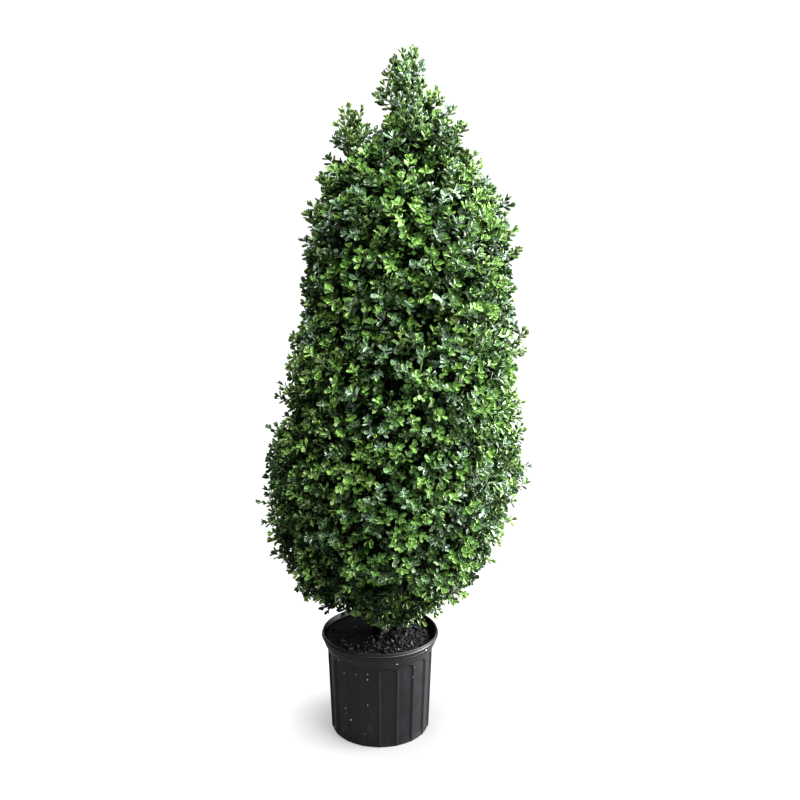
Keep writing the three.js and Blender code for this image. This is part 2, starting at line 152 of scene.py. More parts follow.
def build_piece(
    name: str, vertices: Array, triangles: Array, material: bpy.types.Material,
    nodes: tuple[str, ...],
) -> bpy.types.Object:
    """Put points and triangles into a smooth mesh object that rides on the body.

    Args:
        name: the piece's name.
        vertices: shape (points, 3), in metres.
        triangles: shape (triangles, 3).
        material: its finish.
        nodes: the solids that it stands for.

    Returns:
        The new object.
    """
    mesh = bpy.data.meshes.new(name)
    mesh.vertices.add(len(vertices))
    mesh.vertices.foreach_set("co", vertices.astype(np.float32).ravel())
    mesh.loops.add(triangles.size)
    mesh.loops.foreach_set("vertex_index", triangles.astype(np.int32).ravel())
    mesh.polygons.add(len(triangles))
    mesh.polygons.foreach_set("loop_start", np.arange(0, triangles.size, 3, dtype=np.int32))
    mesh.polygons.foreach_set("use_smooth", np.ones(len(triangles), dtype=bool))
    mesh.materials.append(material)
    mesh.update(calc_edges=True)
    piece = bpy.data.objects.new(name, mesh)
    bpy.context.scene.collection.objects.link(piece)
    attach(piece, BODY)
    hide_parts(*nodes)
    LOG.info("%s: %d triangles", name, len(triangles))
    return piece


def colour_of(seen: str) -> tuple[float, float, float, float]:
    """Turn a colour as a viewer sees it into the linear values that a shader takes.

    A channel s gives s / slope below the end of the curve's toe, and above it
    ((s + shift) / (1 + shift)) ^ power.

    Args:
        seen: six hexadecimal digits.

    Returns:
        Red, green, blue and an opacity of one.
    """
    s = np.array([int(seen[i:i + 2], HEX_BASE) for i in (0, 2, 4)]) / HEX_TOP
    curve = ((s + SRGB_SHIFT) / (1 + SRGB_SHIFT)) ** SRGB_POWER
    red, green, blue = np.where(s <= SRGB_TOE_END, s / SRGB_TOE_SLOPE, curve).tolist()
    return red, green, blue, 1.0


class Wiring:
    """Adds shader nodes to one node tree and joins them."""

    def __init__(self, tree: bpy.types.NodeTree) -> None:
        """Keep the tree and empty it."""
        self.tree = tree
        tree.nodes.clear()

    def add(self, kind: str, settings: dict[str, Any] | None = None, **inputs: Any) -> bpy.types.Node:
        """Add one node.

        Args:
            kind: the node's type.
            settings: its own properties.
            inputs: values or sockets for its inputs, with _ in place of a space in a name.

        Returns:
            The new node.
        """
        node = self.tree.nodes.new(kind)
        for name, value in (settings or {}).items():
            setattr(node, name, value)
        for name, value in inputs.items():
            self.feed(node.inputs[name.replace("_", " ")], value)
        return node

    def feed(self, socket: Socket, value: Any) -> None:
        """Set a socket's value, or link another node's output to it.

        Args:
            socket: the input.
            value: a number, a colour or an output socket.
        """
        if isinstance(value, Socket):
            self.tree.links.new(value, socket)
        else:
            socket.default_value = value

    def mix(self, share: Any, first: Any, second: Any) -> Socket:
        """Mix two colours.

        Args:
            share: how much of the second colour there is, a number or a socket.
            first: a colour or a socket.
            second: a colour or a socket.

        Returns:
            The mixed colour's socket.
        """
        node = self.add("ShaderNodeMix", {"data_type": "RGBA"})
        colours = [socket for socket in node.inputs if socket.type == "RGBA"]
        self.feed(node.inputs[0], share)
        self.feed(colours[0], first)
        self.feed(colours[1], second)
        return next(socket for socket in node.outputs if socket.type == "RGBA")

    def ramp(
        self, value: Any, low: Any, high: Any, start: float = 0.0, end: float = 1.0,
    ) -> Socket:
        """Carry a value from the span low to high onto the span start to end, and hold it there.

        Args:
            value: the socket to carry over.
            low: its value where the result is start, a number or a socket.
            high: its value where the result is end, a number or a socket.
            start: the first result.
            end: the last result.

        Returns:
            The result's socket.
        """
        node = self.add(
            "ShaderNodeMapRange", {"clamp": True}, Value=value, From_Min=low, From_Max=high,
            To_Min=start, To_Max=end,
        )
        return node.outputs[0]

    def through(self, kind: str, settings: dict[str, Any], *values: Any) -> Socket:
        """Pass values through a node, in the order of its inputs.

        Args:
            kind: the node's type.
            settings: its own properties.
            values: numbers, colours or sockets, with None for an input that stays as it is.

        Returns:
            The node's first output.
        """
        node = self.add(kind, settings)
        for socket, value in zip(node.inputs, values):
            if value is not None:
                self.feed(socket, value)
        return node.outputs[0]

    def maths(self, operation: str, first: Any, second: Any) -> Socket:
        """Work out one operation on two numbers or sockets."""
        return self.through("ShaderNodeMath", {"operation": operation}, first, second)

    def place(self) -> Socket:
        """Give the place on the object, in its own coordinates."""
        return self.add("ShaderNodeTexCoord").outputs["Object"]


def group_tree(
    name: str, inputs: dict[str, str], outputs: dict[str, str],
) -> tuple[Wiring, bpy.types.Node, bpy.types.Node]:
    """Make an empty shader node group with named sockets.

    Args:
        name: the group's name.
        inputs: each input's name and kind.
        outputs: each output's name and kind.

    Returns:
        The wiring of the group, its input node and its output node.
    """
    tree = bpy.data.node_groups.new(name, "ShaderNodeTree")
    for side, sockets in (("INPUT", inputs), ("OUTPUT", outputs)):
        for label, kind in sockets.items():
            tree.interface.new_socket(label, in_out=side, socket_type=kind)
    wiring = Wiring(tree)
    return wiring, wiring.add("NodeGroupInput"), wiring.add("NodeGroupOutput")


class SharedEffects:
    """The node groups that several finishes use, each built once."""

    patch_detail: float = 3.0
    fine_detail: float = 2.0
    broad_detail: float = 1.0
    broad_scale: float = 0.2

    def __init__(self) -> None:
        """Build the groups."""
        self.mottle = self.build_mottle()
        self.specks = self.build_specks()
        self.grain = self.build_grain()

    def build_mottle(self) -> bpy.types.NodeTree:
        """Build soft patches of two colours, from a noise that is stretched along Z.

        Returns:
            A group that puts out the colour and the mask of the second colour.
        """
        wiring, given, result = group_tree(
            "soft_mottle",
            {
                "First": COLOUR, "Second": COLOUR, "Scale": NUMBER, "Upright": NUMBER,
                "Low": NUMBER, "High": NUMBER,
            },
            {"Colour": COLOUR, "Mask": NUMBER},
        )
        stretch = wiring.add("ShaderNodeCombineXYZ", X=1.0, Y=1.0, Z=given.outputs["Upright"])
        scaled = wiring.through(
            "ShaderNodeVectorMath", {"operation": "MULTIPLY"}, wiring.place(), stretch.outputs[0],
        )
        noise = wiring.add(
            "ShaderNodeTexNoise", Vector=scaled, Scale=given.outputs["Scale"], Detail=self.patch_detail,
        )
        mask = wiring.ramp(noise.outputs[0], given.outputs["Low"], given.outputs["High"])
        colour = wiring.mix(mask, given.outputs["First"], given.outputs["Second"])
        wiring.feed(result.inputs["Colour"], colour)
        wiring.feed(result.inputs["Mask"], mask)
        return wiring.tree

    def build_specks(self) -> bpy.types.NodeTree:
        """Build scattered specks: the cells of a Voronoi pattern near their centres, few of them.

        Returns:
            A group that puts out the mask of the specks.
        """
        wiring, given, result = group_tree(
            "pale_specks", {"Scale": NUMBER, "Size": NUMBER, "Share": NUMBER}, {"Mask": NUMBER},
        )
        cells = wiring.add(
            "ShaderNodeTexVoronoi", {"feature": "F1"}, Vector=wiring.place(),
            Scale=given.outputs["Scale"],
        )
        pick = wiring.add("ShaderNodeSeparateColor", Color=cells.outputs["Color"])
        near = wiring.maths("LESS_THAN", cells.outputs["Distance"], given.outputs["Size"])
        rare = wiring.maths("LESS_THAN", pick.outputs[0], given.outputs["Share"])
        wiring.feed(result.inputs["Mask"], wiring.maths("MULTIPLY", near, rare))
        return wiring.tree

    def build_grain(self) -> bpy.types.NodeTree:
        """Build a fine surface grain, a noise of two scales added together.

        Returns:
            A group that puts out the height of the grain, from 0 to 1.
        """
        wiring, given, result = group_tree(
            "fine_grain", {"Scale": NUMBER, "Broad": NUMBER}, {"Height": NUMBER},
        )
        scale = given.outputs["Scale"]
        wide = wiring.maths("MULTIPLY", scale, self.broad_scale)
        place = wiring.place()
        fine = wiring.add("ShaderNodeTexNoise", Vector=place, Scale=scale, Detail=self.fine_detail)
        broad = wiring.add("ShaderNodeTexNoise", Vector=place, Scale=wide, Detail=self.broad_detail)
        height = wiring.through(
            "ShaderNodeMix", {"data_type": "FLOAT"},
            given.outputs["Broad"], None, fine.outputs[0], broad.outputs[0],
        )
        wiring.feed(result.inputs["Height"], height)
        return wiring.tree


def new_material(name: str) -> tuple[bpy.types.Material, Wiring]:
    """Make an empty node material and give it with the wiring of its tree."""
    material = bpy.data.materials.new(name)
    material.use_nodes = True
    return material, Wiring(material.node_tree)


def place_group(wiring: Wiring, tree: bpy.types.NodeTree, **inputs: Any) -> bpy.types.Node:
    """Place a shared node group in a material, with values for its sockets."""
    return wiring.add("ShaderNodeGroup", {"node_tree": tree}, **inputs)


@dataclass(frozen=True)
class Grain:
    """A surface's fine grain: its scale, the share of its broader noise, its depth in metres."""

    scale: float
    broad: float
    depth: float


@dataclass(frozen=True)
class Speckle:
    """Scattered specks: the scale of their cells, a speck's size, how many cells have one."""

    scale: float
    size: float
    share: float
    colour: str


def two_tones(
    wiring: Wiring, effects: SharedEffects, first: str, second: str, scale: float,
    upright: float = 1.0,
) -> bpy.types.Node:
    """Place soft patches of two colours, with upright for their scale along Z over that across."""
    return place_group(
        wiring, effects.mottle, First=colour_of(first), Second=colour_of(second), Scale=scale,
        Upright=upright, Low=PATCH_LOW, High=PATCH_HIGH,
    )


def speckled(wiring: Wiring, effects: SharedEffects, base: Any, specks: Speckle) -> Socket:
    """Scatter specks over the colour of a socket."""
    mask = place_group(
        wiring, effects.specks, Scale=specks.scale, Size=specks.size, Share=specks.share,
    )
    return wiring.mix(mask.outputs["Mask"], base, colour_of(specks.colour))


def close_surface(
    wiring: Wiring, effects: SharedEffects, colour: Any, roughness: Any, grain: Grain, **more: Any,
) -> None:
    """End a material in a Principled BSDF whose normal is bumped by a grain.

    Args:
        wiring: the material's wiring.
        effects: the shared node groups.
        colour: the base colour.
        roughness: a number or a socket.
        grain: the surface's grain.
        more: values for further inputs of the shader.
    """
    relief = place_group(wiring, effects.grain, Scale=grain.scale, Broad=grain.broad)
    bump = wiring.add(
        "ShaderNodeBump", Height=relief.outputs["Height"], Distance=grain.depth, Strength=1.0,
    )
    shader = wiring.add(
        "ShaderNodeBsdfPrincipled", Base_Color=colour, Roughness=roughness,
        Normal=bump.outputs[0], **more,
    )
    wiring.add("ShaderNodeOutputMaterial", Surface=shader.outputs[0])


class Tone(Enum):
    """The set tones that the leaves are moulded in, except that SHADE is near black as painted shade
    for the inner leaves, and DEEP and MOSS also stand for shade where dishes, leaves far back and dim
    places take them.
    """

    LIME = 0
    BRIGHT = 1
    MIDDLE = 2
    DEEP = 3
    BLUE = 4
    OLIVE = 5
    SHADE = 6
    MOSS = 7

    @property
    def label(self) -> str:
        """Give the tone's name as its pieces carry it."""
        return self.name.lower()

    @property
    def material_name(self) -> str:
        """Give the name of the tone's material."""
        return f"leaf_{self.label}"


NEAR_TONES = {
    Tone.LIME: (Tone.BRIGHT.value, Tone.BRIGHT.value),
    Tone.BRIGHT: (Tone.LIME.value, Tone.MIDDLE.value),
    Tone.MIDDLE: (Tone.BRIGHT.value, Tone.MOSS.value),
    Tone.DEEP: (Tone.MIDDLE.value, Tone.DEEP.value),
    Tone.BLUE: (Tone.MIDDLE.value, Tone.BRIGHT.value),
    Tone.OLIVE: (Tone.MIDDLE.value, Tone.MOSS.value),
    Tone.SHADE: (Tone.SHADE.value, Tone.DEEP.value),
    Tone.MOSS: (Tone.MIDDLE.value, Tone.DEEP.value),
}

# painted shade: each young leaf's dish takes a darker tone than its rim, standing in for the shade in
# its cup, so that the rim reads as a highlight
DISH_SHADE_TONES = {
    Tone.LIME: Tone.MIDDLE,
    Tone.BRIGHT: Tone.MIDDLE,
    Tone.MIDDLE: Tone.MOSS,
    Tone.DEEP: Tone.DEEP,
    Tone.BLUE: Tone.MOSS,
    Tone.OLIVE: Tone.MOSS,
    Tone.SHADE: Tone.SHADE,
    Tone.MOSS: Tone.DEEP,
}


@dataclass(frozen=True)
class LeafFinish:
    """Satin moulded leaf: two near tones in soft patches and a paler underside."""

    tone: Tone
    first: str
    second: str
    under: str
    roughness: float
    shine: float = 0.65
    patch: float = 55.0
    grain: Grain = Grain(420.0, 0.5, 0.00012)

    def build(self, effects: SharedEffects) -> bpy.types.Material:
        """Build the material: patches of the two tones, and the third where the back shows."""
        material, wiring = new_material(self.tone.material_name)
        patches = two_tones(wiring, effects, self.first, self.second, self.patch)
        back = wiring.add("ShaderNodeNewGeometry").outputs["Backfacing"]
        colour = wiring.mix(back, patches.outputs["Colour"], colour_of(self.under))
        close_surface(
            wiring, effects, colour, self.roughness, self.grain, Specular_IOR_Level=self.shine,
        )
        return material


LEAF_FINISHES = (
    LeafFinish(Tone.LIME, "6c8f40", "80a556", "6f8a4a", 0.42, 0.4),
    LeafFinish(Tone.BRIGHT, "6a8d42", "82a556", "688348", 0.38),
    LeafFinish(Tone.MIDDLE, "4d6e33", "608841", "566f44", 0.35, 0.7),
    LeafFinish(Tone.MOSS, "304d1e", "3e5f28", "3e572e", 0.37, 0.5),
    LeafFinish(Tone.DEEP, "182d0b", "234012", "2a401d", 0.40, 0.4),
    # BLUE: a grey-green tone, made paler partly as painted sheen, with a real gloss on top
    LeafFinish(Tone.BLUE, "69806b", "869d8a", "5a6b5c", 0.31, 1.1),
    LeafFinish(Tone.OLIVE, "526726", "677932", "566833", 0.40),
    # SHADE: near black, painted shade for the inner leaves deep in the crown
    LeafFinish(Tone.SHADE, "091504", "0e1f06", "101e08", 0.55, 0.15),
)


@dataclass(frozen=True)
class TwigFinish:
    """Moulded pale green stems with browner stretches."""

    first: str = "4e6238"
    second: str = "3a4429"
    roughness: float = 0.5
    patch: float = 30.0
    grain: Grain = Grain(600.0, 0.3, 0.0002)

    def build(self, effects: SharedEffects) -> bpy.types.Material:
        """Build the material: pale green and brown-green patches on a fine grain."""
        material, wiring = new_material("twig_green")
        patches = two_tones(wiring, effects, self.first, self.second, self.patch)
        close_surface(wiring, effects, patches.outputs["Colour"], self.roughness, self.grain)
        return material


@dataclass(frozen=True)
class BarkFinish:
    """Grey-brown bark with upright streaks, painted near black towards the foot as shade where the
    crown shades it.
    """

    name: str = "bark_brown"
    first: str = "4b3d2f"
    second: str = "77664f"
    # painted shade: the near-black colour that the bark takes towards its foot, under the crown
    stained: str = "050505"
    stain_foot: float = 0.196
    stain_top: float = 0.236
    roughness: float = 0.8
    streak: float = 260.0
    upright: float = 0.18
    grain: Grain = Grain(700.0, 0.4, 0.0008)

    def build(self, effects: SharedEffects) -> bpy.types.Material:
        """Build the material: streaks of two browns over a coarse grain, with painted shade near black
        at the foot that clears with height.
        """
        material, wiring = new_material(self.name)
        streaks = two_tones(wiring, effects, self.first, self.second, self.streak, self.upright)
        place = wiring.add("ShaderNodeSeparateXYZ", Vector=wiring.place())
        # painted shade: near black at the foot, clearing to the streaked bark between these heights
        unshaded = wiring.ramp(place.outputs["Z"], self.stain_foot, self.stain_top)
        colour = wiring.mix(unshaded, colour_of(self.stained), streaks.outputs["Colour"])
        close_surface(wiring, effects, colour, self.roughness, self.grain)
        return material


@dataclass(frozen=True)
class PlasticFinish:
    """Black pot plastic: satin, with grey scuffs and a few pale specks of dust."""

    first: str = "08080b"
    second: str = "0d0d11"
    scuff: str = "1d1d22"
    roughness: float = 0.40
    duller: float = 0.1
    shine: float = 0.31
    patch: float = 22.0
    scuff_scale: float = 95.0
    scuff_upright: float = 0.4
    scuff_low: float = 0.63
    scuff_high: float = 0.76
    specks: Speckle = Speckle(95.0, 0.13, 0.07, "c8c8c4")
    dust: Speckle = Speckle(150.0, 0.18, 0.05, "5a5a5c")
    grain: Grain = Grain(520.0, 0.35, 0.0003)

    def build(self, effects: SharedEffects) -> bpy.types.Material:
        """Build the material: two blacks, scuffs, specks, and a grain in the gloss."""
        material, wiring = new_material("pot_black_plastic")
        base = two_tones(wiring, effects, self.first, self.second, self.patch)
        scuffs = place_group(
            wiring, effects.mottle, Scale=self.scuff_scale, Upright=self.scuff_upright,
            Low=self.scuff_low, High=self.scuff_high,
        )
        colour = wiring.mix(scuffs.outputs["Mask"], base.outputs["Colour"], colour_of(self.scuff))
        for specks in (self.specks, self.dust):
            colour = speckled(wiring, effects, colour, specks)
        gloss = wiring.ramp(base.outputs["Mask"], 0, 1, self.roughness, self.roughness + self.duller)
        close_surface(wiring, effects, colour, gloss, self.grain, Specular_IOR_Level=self.shine)
        return material


@dataclass(frozen=True)
class GritFinish:
    """Black potting grit, dull with some wet-looking grains and a few pale ones."""

    name: str
    first: str
    second: str
    roughness: float
    shine: float
    duller: float = 0.1
    wetter: float = 0.15
    patch: float = 210.0
    pale: Speckle = Speckle(260.0, 0.35, 0.006, "a5a298")
    grain: Grain = Grain(900.0, 0.6, 0.0011)

    def build(self, effects: SharedEffects) -> bpy.types.Material:
        """Build the material: grains of two blacks, pale specks and a rough grain."""
        material, wiring = new_material(self.name)
        grains = two_tones(wiring, effects, self.first, self.second, self.patch)
        colour = speckled(wiring, effects, grains.outputs["Colour"], self.pale)
        gloss = wiring.ramp(
            grains.outputs["Mask"], 0, 1, self.roughness + self.duller, self.roughness - self.wetter,
        )
        close_surface(wiring, effects, colour, gloss, self.grain, Specular_IOR_Level=self.shine)
        return material


@dataclass(frozen=True)
class Mass:
    """One mass of foliage: its outline in metres, its sprays' rise in degrees, its fullness."""

    node: str
    foot: float
    low: float
    wide: float
    high: float
    slope: float
    rise: float
    fullness: float = 1.0


@dataclass(frozen=True)
class Swelling:
    """A place where the outline swells or draws in: bearing and spread in degrees, metres."""

    bearing: float
    height: float
    across: float
    up: float
    rise: float


@dataclass(frozen=True)
class StemLine:
    """The leaning, tapering line of the one stem."""

    foot: float = 0.18435
    top: float = 1.128
    lean: float = 0.048
    curve: float = 1.8
    foot_radius: float = 0.017
    radius: float = 0.011
    tip_radius: float = 0.0035
    flare_fade: float = 0.013

    def x_at(self, z: Array) -> Array:
        """Give the middle's x at each height: lean * (1 - (1 - share)^curve) of its share."""
        share = np.clip((z - self.foot) / (self.top - self.foot), 0, 1)
        return self.lean * (1 - (1 - share) ** self.curve)

    def radius_at(self, z: Array) -> Array:
        """Give the radius at each height: a straight taper and a flare that fades up the stem."""
        share = np.clip((z - self.foot) / (self.top - self.foot), 0, 1)
        taper = self.radius + (self.tip_radius - self.radius) * share
        flare = np.exp(-np.maximum(z - self.foot, 0) / self.flare_fade)
        return taper + (self.foot_radius - self.radius) * flare


@dataclass(frozen=True)
class CrownOutline:
    """The clipped outline that all the foliage grows out to."""

    stem: StemLine = StemLine()
    top: float = 1.196
    masses: tuple[Mass, ...] = (
        Mass("crown_skirt", 0.215, 0.092, 0.155, 0.200, 0.2, -14),
        Mass("crown_belly", 0.345, 0.200, 0.231, 0.212, 0.05, 17),
        Mass("crown_middle", 0.590, 0.207, 0.210, 0.190, 0.45, 31),
        Mass("crown_upper", 0.768, 0.186, 0.184, 0.150, 0.6, 38),
        Mass("crown_shoulder", 0.985, 0.150, 0.118, 0.074, 0.8, 56),
        Mass("crown_leader", 1.106, 0.064, 0.040, 0.014, 0.9, 76, 0.32),
    )
    swellings: tuple[Swelling, ...] = (
        Swelling(180, 0.520, 42, 0.095, 0.006),
        Swelling(0, 0.600, 45, 0.110, 0.015),
        Swelling(180, 0.992, 30, 0.022, 0.012),
        Swelling(180, 0.905, 34, 0.036, -0.006),
        Swelling(0, 0.650, 36, 0.024, -0.010),
        Swelling(180, 0.640, 40, 0.060, -0.012),
        Swelling(12, 0.950, 45, 0.070, 0.010),
        Swelling(180, 1.040, 34, 0.046, 0.013),
        Swelling(90, 0.720, 40, 0.090, 0.008),
        Swelling(270, 0.420, 45, 0.090, 0.007),
        Swelling(180, 0.815, 40, 0.050, -0.006),
        Swelling(0, 0.785, 40, 0.060, 0.017),
        Swelling(0, 1.090, 40, 0.040, 0.012),
        Swelling(180, 1.088, 60, 0.038, -0.056),
    )
    underside: float = 0.250
    left_rise: float = 0.026
    rise_span: float = 0.05
    slant_step: float = 0.01
    least_radius: float = 0.0001

    def mass_at(self, z: Array) -> Array:
        """Give the number of the mass whose outline each height lies on."""
        feet = [mass.foot for mass in self.masses]
        return np.clip(np.searchsorted(feet, z, side="right") - 1, 0, None)

    def top_of(self, number: int) -> float:
        """Give the height at which a mass's outline ends."""
        return self.masses[number + 1].foot if number + 1 < len(self.masses) else self.top

    def plain_radius(self, z: Array) -> Array:
        """Give the radius before it swells: an arc through each mass's three radii.

        The arc is low + (high - low) t + 4 (wide - (low + high) / 2) t (1 - t) of its share t.

        Args:
            z: heights.

        Returns:
            Radii round the stem's line.
        """
        count = range(len(self.masses))
        table = np.array([
            (m.foot, m.low, m.wide, m.high, self.top_of(i)) for i, m in zip(count, self.masses)
        ])
        foot, low, wide, high, top = table[self.mass_at(z)].T
        t = np.clip((z - foot) / (top - foot), 0, 1)
        return low + (high - low) * t + 4 * (wide - (low + high) / 2) * t * (1 - t)

    def radius(self, z: Array, bearing: Array) -> Array:
        """Give the outline's radius: the plain one and a bell-shaped rise for each swelling.

        Args:
            z: heights.
            bearing: turns from +X towards +Y, in radians.

        Returns:
            Radii round the stem's line.
        """
        total = self.plain_radius(z)
        for swelling in self.swellings:
            turn = np.degrees(bearing) - swelling.bearing
            turn = turn - 360 * np.round(turn / 360)
            away = (turn / swelling.across) ** 2 + ((z - swelling.height) / swelling.up) ** 2
            total = total + swelling.rise * np.exp(-away)
        return total

    def around(self, points: Array) -> tuple[Array, Array]:
        """Give each point's distance from the stem's line and its bearing round it."""
        across = points[..., 0] - self.stem.x_at(points[..., 2])
        return np.hypot(across, points[..., 1]), np.arctan2(points[..., 1], across)

    def room(self, points: Array) -> Array:
        """Give how far inside the outline each point is."""
        radius, bearing = self.around(points)
        return self.radius(points[..., 2], bearing) - radius

    def floor_at(self, x: Array) -> Array:
        """Give the height of the crown's underside, which is higher to the left."""
        return self.underside + self.left_rise * smooth_step(0.0, self.rise_span, -x)

    def pull_in(self, points: Array, clear: Array) -> Array:
        """Give the move that lifts each point above the underside and brings it in if it is out.

        Args:
            points: shape (n, 3).
            clear: how far inside the outline each must be.

        Returns:
            Moves towards the stem's line, zero where there is room.
        """
        lifted = points.copy()
        lifted[:, 2] = np.maximum(points[:, 2], self.floor_at(points[:, 0]))
        radius, _ = self.around(lifted)
        above = self.plain_radius(lifted[:, 2] + self.slant_step)
        slant = (above - self.plain_radius(lifted[:, 2])) / self.slant_step
        excess = np.maximum(clear * np.sqrt(1 + slant ** 2) - self.room(lifted), 0)
        share = np.minimum(excess / np.maximum(radius, self.least_radius), 1)
        lifted[:, 0] -= (lifted[:, 0] - self.stem.x_at(lifted[:, 2])) * share
        lifted[:, 1] -= lifted[:, 1] * share
        return lifted - points


@dataclass
class Shoots:
    """Many bent twigs as arrays. Each is an arc from its root past its bend to its tip."""

    root: Array
    bend: Array
    tip: Array
    mass: Array
    tone: Array

    def __len__(self) -> int:
        """Give how many there are."""
        return len(self.root)

    def at(self, share: Array) -> Array:
        """Give the points at shares of the way: (1-t)^2 root + 2 t (1-t) bend + t^2 tip."""
        t = share[..., None]
        root, bend, tip = self.spread(share.ndim)
        return (1 - t) ** 2 * root + 2 * t * (1 - t) * bend + t ** 2 * tip

    def heading(self, share: Array) -> Array:
        """Give the unit directions at shares of the way, from the arc's first derivative."""
        t = share[..., None]
        root, bend, tip = self.spread(share.ndim)
        return unit((1 - t) * (bend - root) + t * (tip - bend))

    def spread(self, dimensions: int) -> tuple[Array, Array, Array]:
        """Shape the three points so that they go with an array of shares."""
        shape = (len(self),) + (1,) * (dimensions - 1) + (3,)
        return self.root.reshape(shape), self.bend.reshape(shape), self.tip.reshape(shape)

    def length(self) -> Array:
        """Give each shoot's length, the mean of its chord and its two legs."""
        chord = np.linalg.norm(self.tip - self.root, axis=1)
        legs = [self.bend - self.root, self.tip - self.bend]
        return (chord + sum(np.linalg.norm(leg, axis=1) for leg in legs)) / 2

    def chosen(self, pick: Array) -> "Shoots":
        """Give the shoots that a mask or a list of numbers picks."""
        return Shoots(
            self.root[pick], self.bend[pick], self.tip[pick], self.mass[pick], self.tone[pick],
        )

    @staticmethod
    def together(groups: list["Shoots"]) -> "Shoots":
        """Join groups of shoots into one."""
        return Shoots(*(
            np.concatenate([getattr(group, part) for group in groups])
            for part in ("root", "bend", "tip", "mass", "tone")
        ))


def square_to(heading: Array) -> tuple[Array, Array]:
    """Give a side and an upper unit vector square to each unit direction and to each other."""
    steep = np.abs(heading[..., 2:3]) > STEEP
    guide = np.where(steep, np.array([1.0, 0, 0]), np.array([0, 0, 1.0]))
    side = unit(np.cross(guide, heading))
    return side, np.cross(heading, side)


def tubes(
    shoots: Shoots, rows: int, sides: int, root_radius: Array, tip_radius: Array,
) -> tuple[Array, Array]:
    """Carry a ring of points along each shoot's arc, tapering from root to tip, both ends closed.

    A ring's point is centre + radius * (side cos a + upper sin a), square to the arc there.

    Args:
        shoots: the arcs.
        rows: how many rings each has.
        sides: how many points a ring has.
        root_radius: each one's radius at its root.
        tip_radius: each one's radius at its tip.

    Returns:
        The points and triangles of all the tubes.
    """
    share = np.broadcast_to(np.linspace(0, 1, rows), (len(shoots), rows))
    centre = shoots.at(share)
    heading = shoots.heading(share)
    first_side, _ = square_to(heading[:, 0])
    along = np.sum(first_side[:, None] * heading, axis=2, keepdims=True)
    side = unit(first_side[:, None] - along * heading)
    upper = np.cross(heading, side)
    radius = root_radius[:, None] + (tip_radius - root_radius)[:, None] * share
    turn = 2 * np.pi * np.arange(sides) / sides
    ring = (
        side[:, :, None] * np.cos(turn)[None, None, :, None]
        + upper[:, :, None] * np.sin(turn)[None, None, :, None]
    )
    points = centre[:, :, None] + radius[:, :, None, None] * ring
    flat = points.reshape(len(shoots), rows * sides, 3)
    whole = np.concatenate([shoots.root[:, None], flat, shoots.tip[:, None]], axis=1)
    return joined(whole, shell_faces(rows, sides))


@dataclass(frozen=True)
class LeafShape:
    """A moulded boxwood leaf: its length in metres, its half width and cup as shares of it.

    A corner gives its place along the midrib, its share of the half width and of the cup.
    """

    length: float
    half_width: float
    cup: float
    corners: tuple[tuple[float, float, float], ...]
    faces: tuple[tuple[int, int, int], ...]

    def blades(self, foot: Array, along: Array, upper: Array, size: Array) -> tuple[Array, Array]:
        """Build one blade for each foot.

        A corner stands at foot + size * (t along + half_width s side + cup c upper), where t, s
        and c are its three numbers.

        Args:
            foot: where each leaf leaves its twig.
            along: the unit direction of its midrib.
            upper: the unit direction that its face turns to.
            size: its length.

        Returns:
            The points and triangles of all the leaves.
        """
        side = np.cross(upper, along)
        t, s, c = np.array(self.corners).T
        local = (
            along[:, None] * t[None, :, None]
            + side[:, None] * (self.half_width * s)[None, :, None]
            + upper[:, None] * (self.cup * c)[None, :, None]
        )
        return joined(foot[:, None] + size[:, None, None] * local, np.array(self.faces))


SPOON_CORNERS = (
    (0.00, 0.00, 0.00), (0.26, -0.58, 0.50), (0.26, 0.58, 0.50), (0.62, -1.00, 1.00),
    (0.62, 1.00, 1.00), (0.93, -0.64, 1.00), (0.93, 0.64, 1.00), (0.20, 0.00, 0.05),
    (0.56, -0.66, 0.10), (0.56, 0.66, 0.10), (0.84, -0.36, 0.10), (0.84, 0.36, 0.10),
)
SPOON_RIM = LeafShape(
    length=0.0126, half_width=0.265, cup=0.16, corners=SPOON_CORNERS,
    faces=(
        (0, 1, 7), (1, 8, 7), (1, 3, 8), (3, 5, 8), (5, 10, 8), (5, 6, 10), (6, 11, 10),
        (0, 7, 2), (2, 7, 9), (2, 9, 4), (4, 9, 6), (6, 9, 11),
    ),
)
# the dish faces of a young leaf, which take the darker dish tone as painted shade
SPOON_DISH = LeafShape(
    length=0.0126, half_width=0.265, cup=0.16, corners=SPOON_CORNERS[7:],
    faces=((0, 1, 2), (1, 3, 2), (3, 4, 2)),
)
PLAIN_LEAF = LeafShape(
    length=0.0130, half_width=0.255, cup=0.10,
    corners=((0.0, 0.0, 0.0), (0.6, -1.0, 1.0), (0.6, 1.0, 1.0), (1.0, 0.0, 0.4), (0.6, 0.0, 0.0)),
    faces=((0, 1, 4), (0, 4, 2), (1, 3, 4), (4, 3, 2)),
)


@dataclass(frozen=True)
class SprayHabit:
    """How the sprays branch: lengths in metres, angles in degrees, the rest as shares."""

    length: float = 0.084
    length_spread: float = 0.012
    first_fork: float = 0.18
    last_fork: float = 0.70
    lowest_fork: float = 0.05
    highest_fork: float = 0.85
    fork_jitter: float = 0.04
    fork: float = 46.0
    fork_spread: float = 7.0
    turn_jitter: float = 0.35
    straighten: float = 0.55
    shortest_twig: float = 0.85
    longest_twig: float = 1.12
    least_twig: float = 0.010
    wander: float = 11.0
    steepen: float = 14.0
    place_jitter: float = 0.05
    bow: float = 0.06
    spire_bow: float = 0.05
    least_core: float = 0.012
    least_radius: float = 0.004
    stray_share: float = 0.07
    stray_reach: float = 0.010
    hollow_depth: float = 0.034
    seed: int = 3


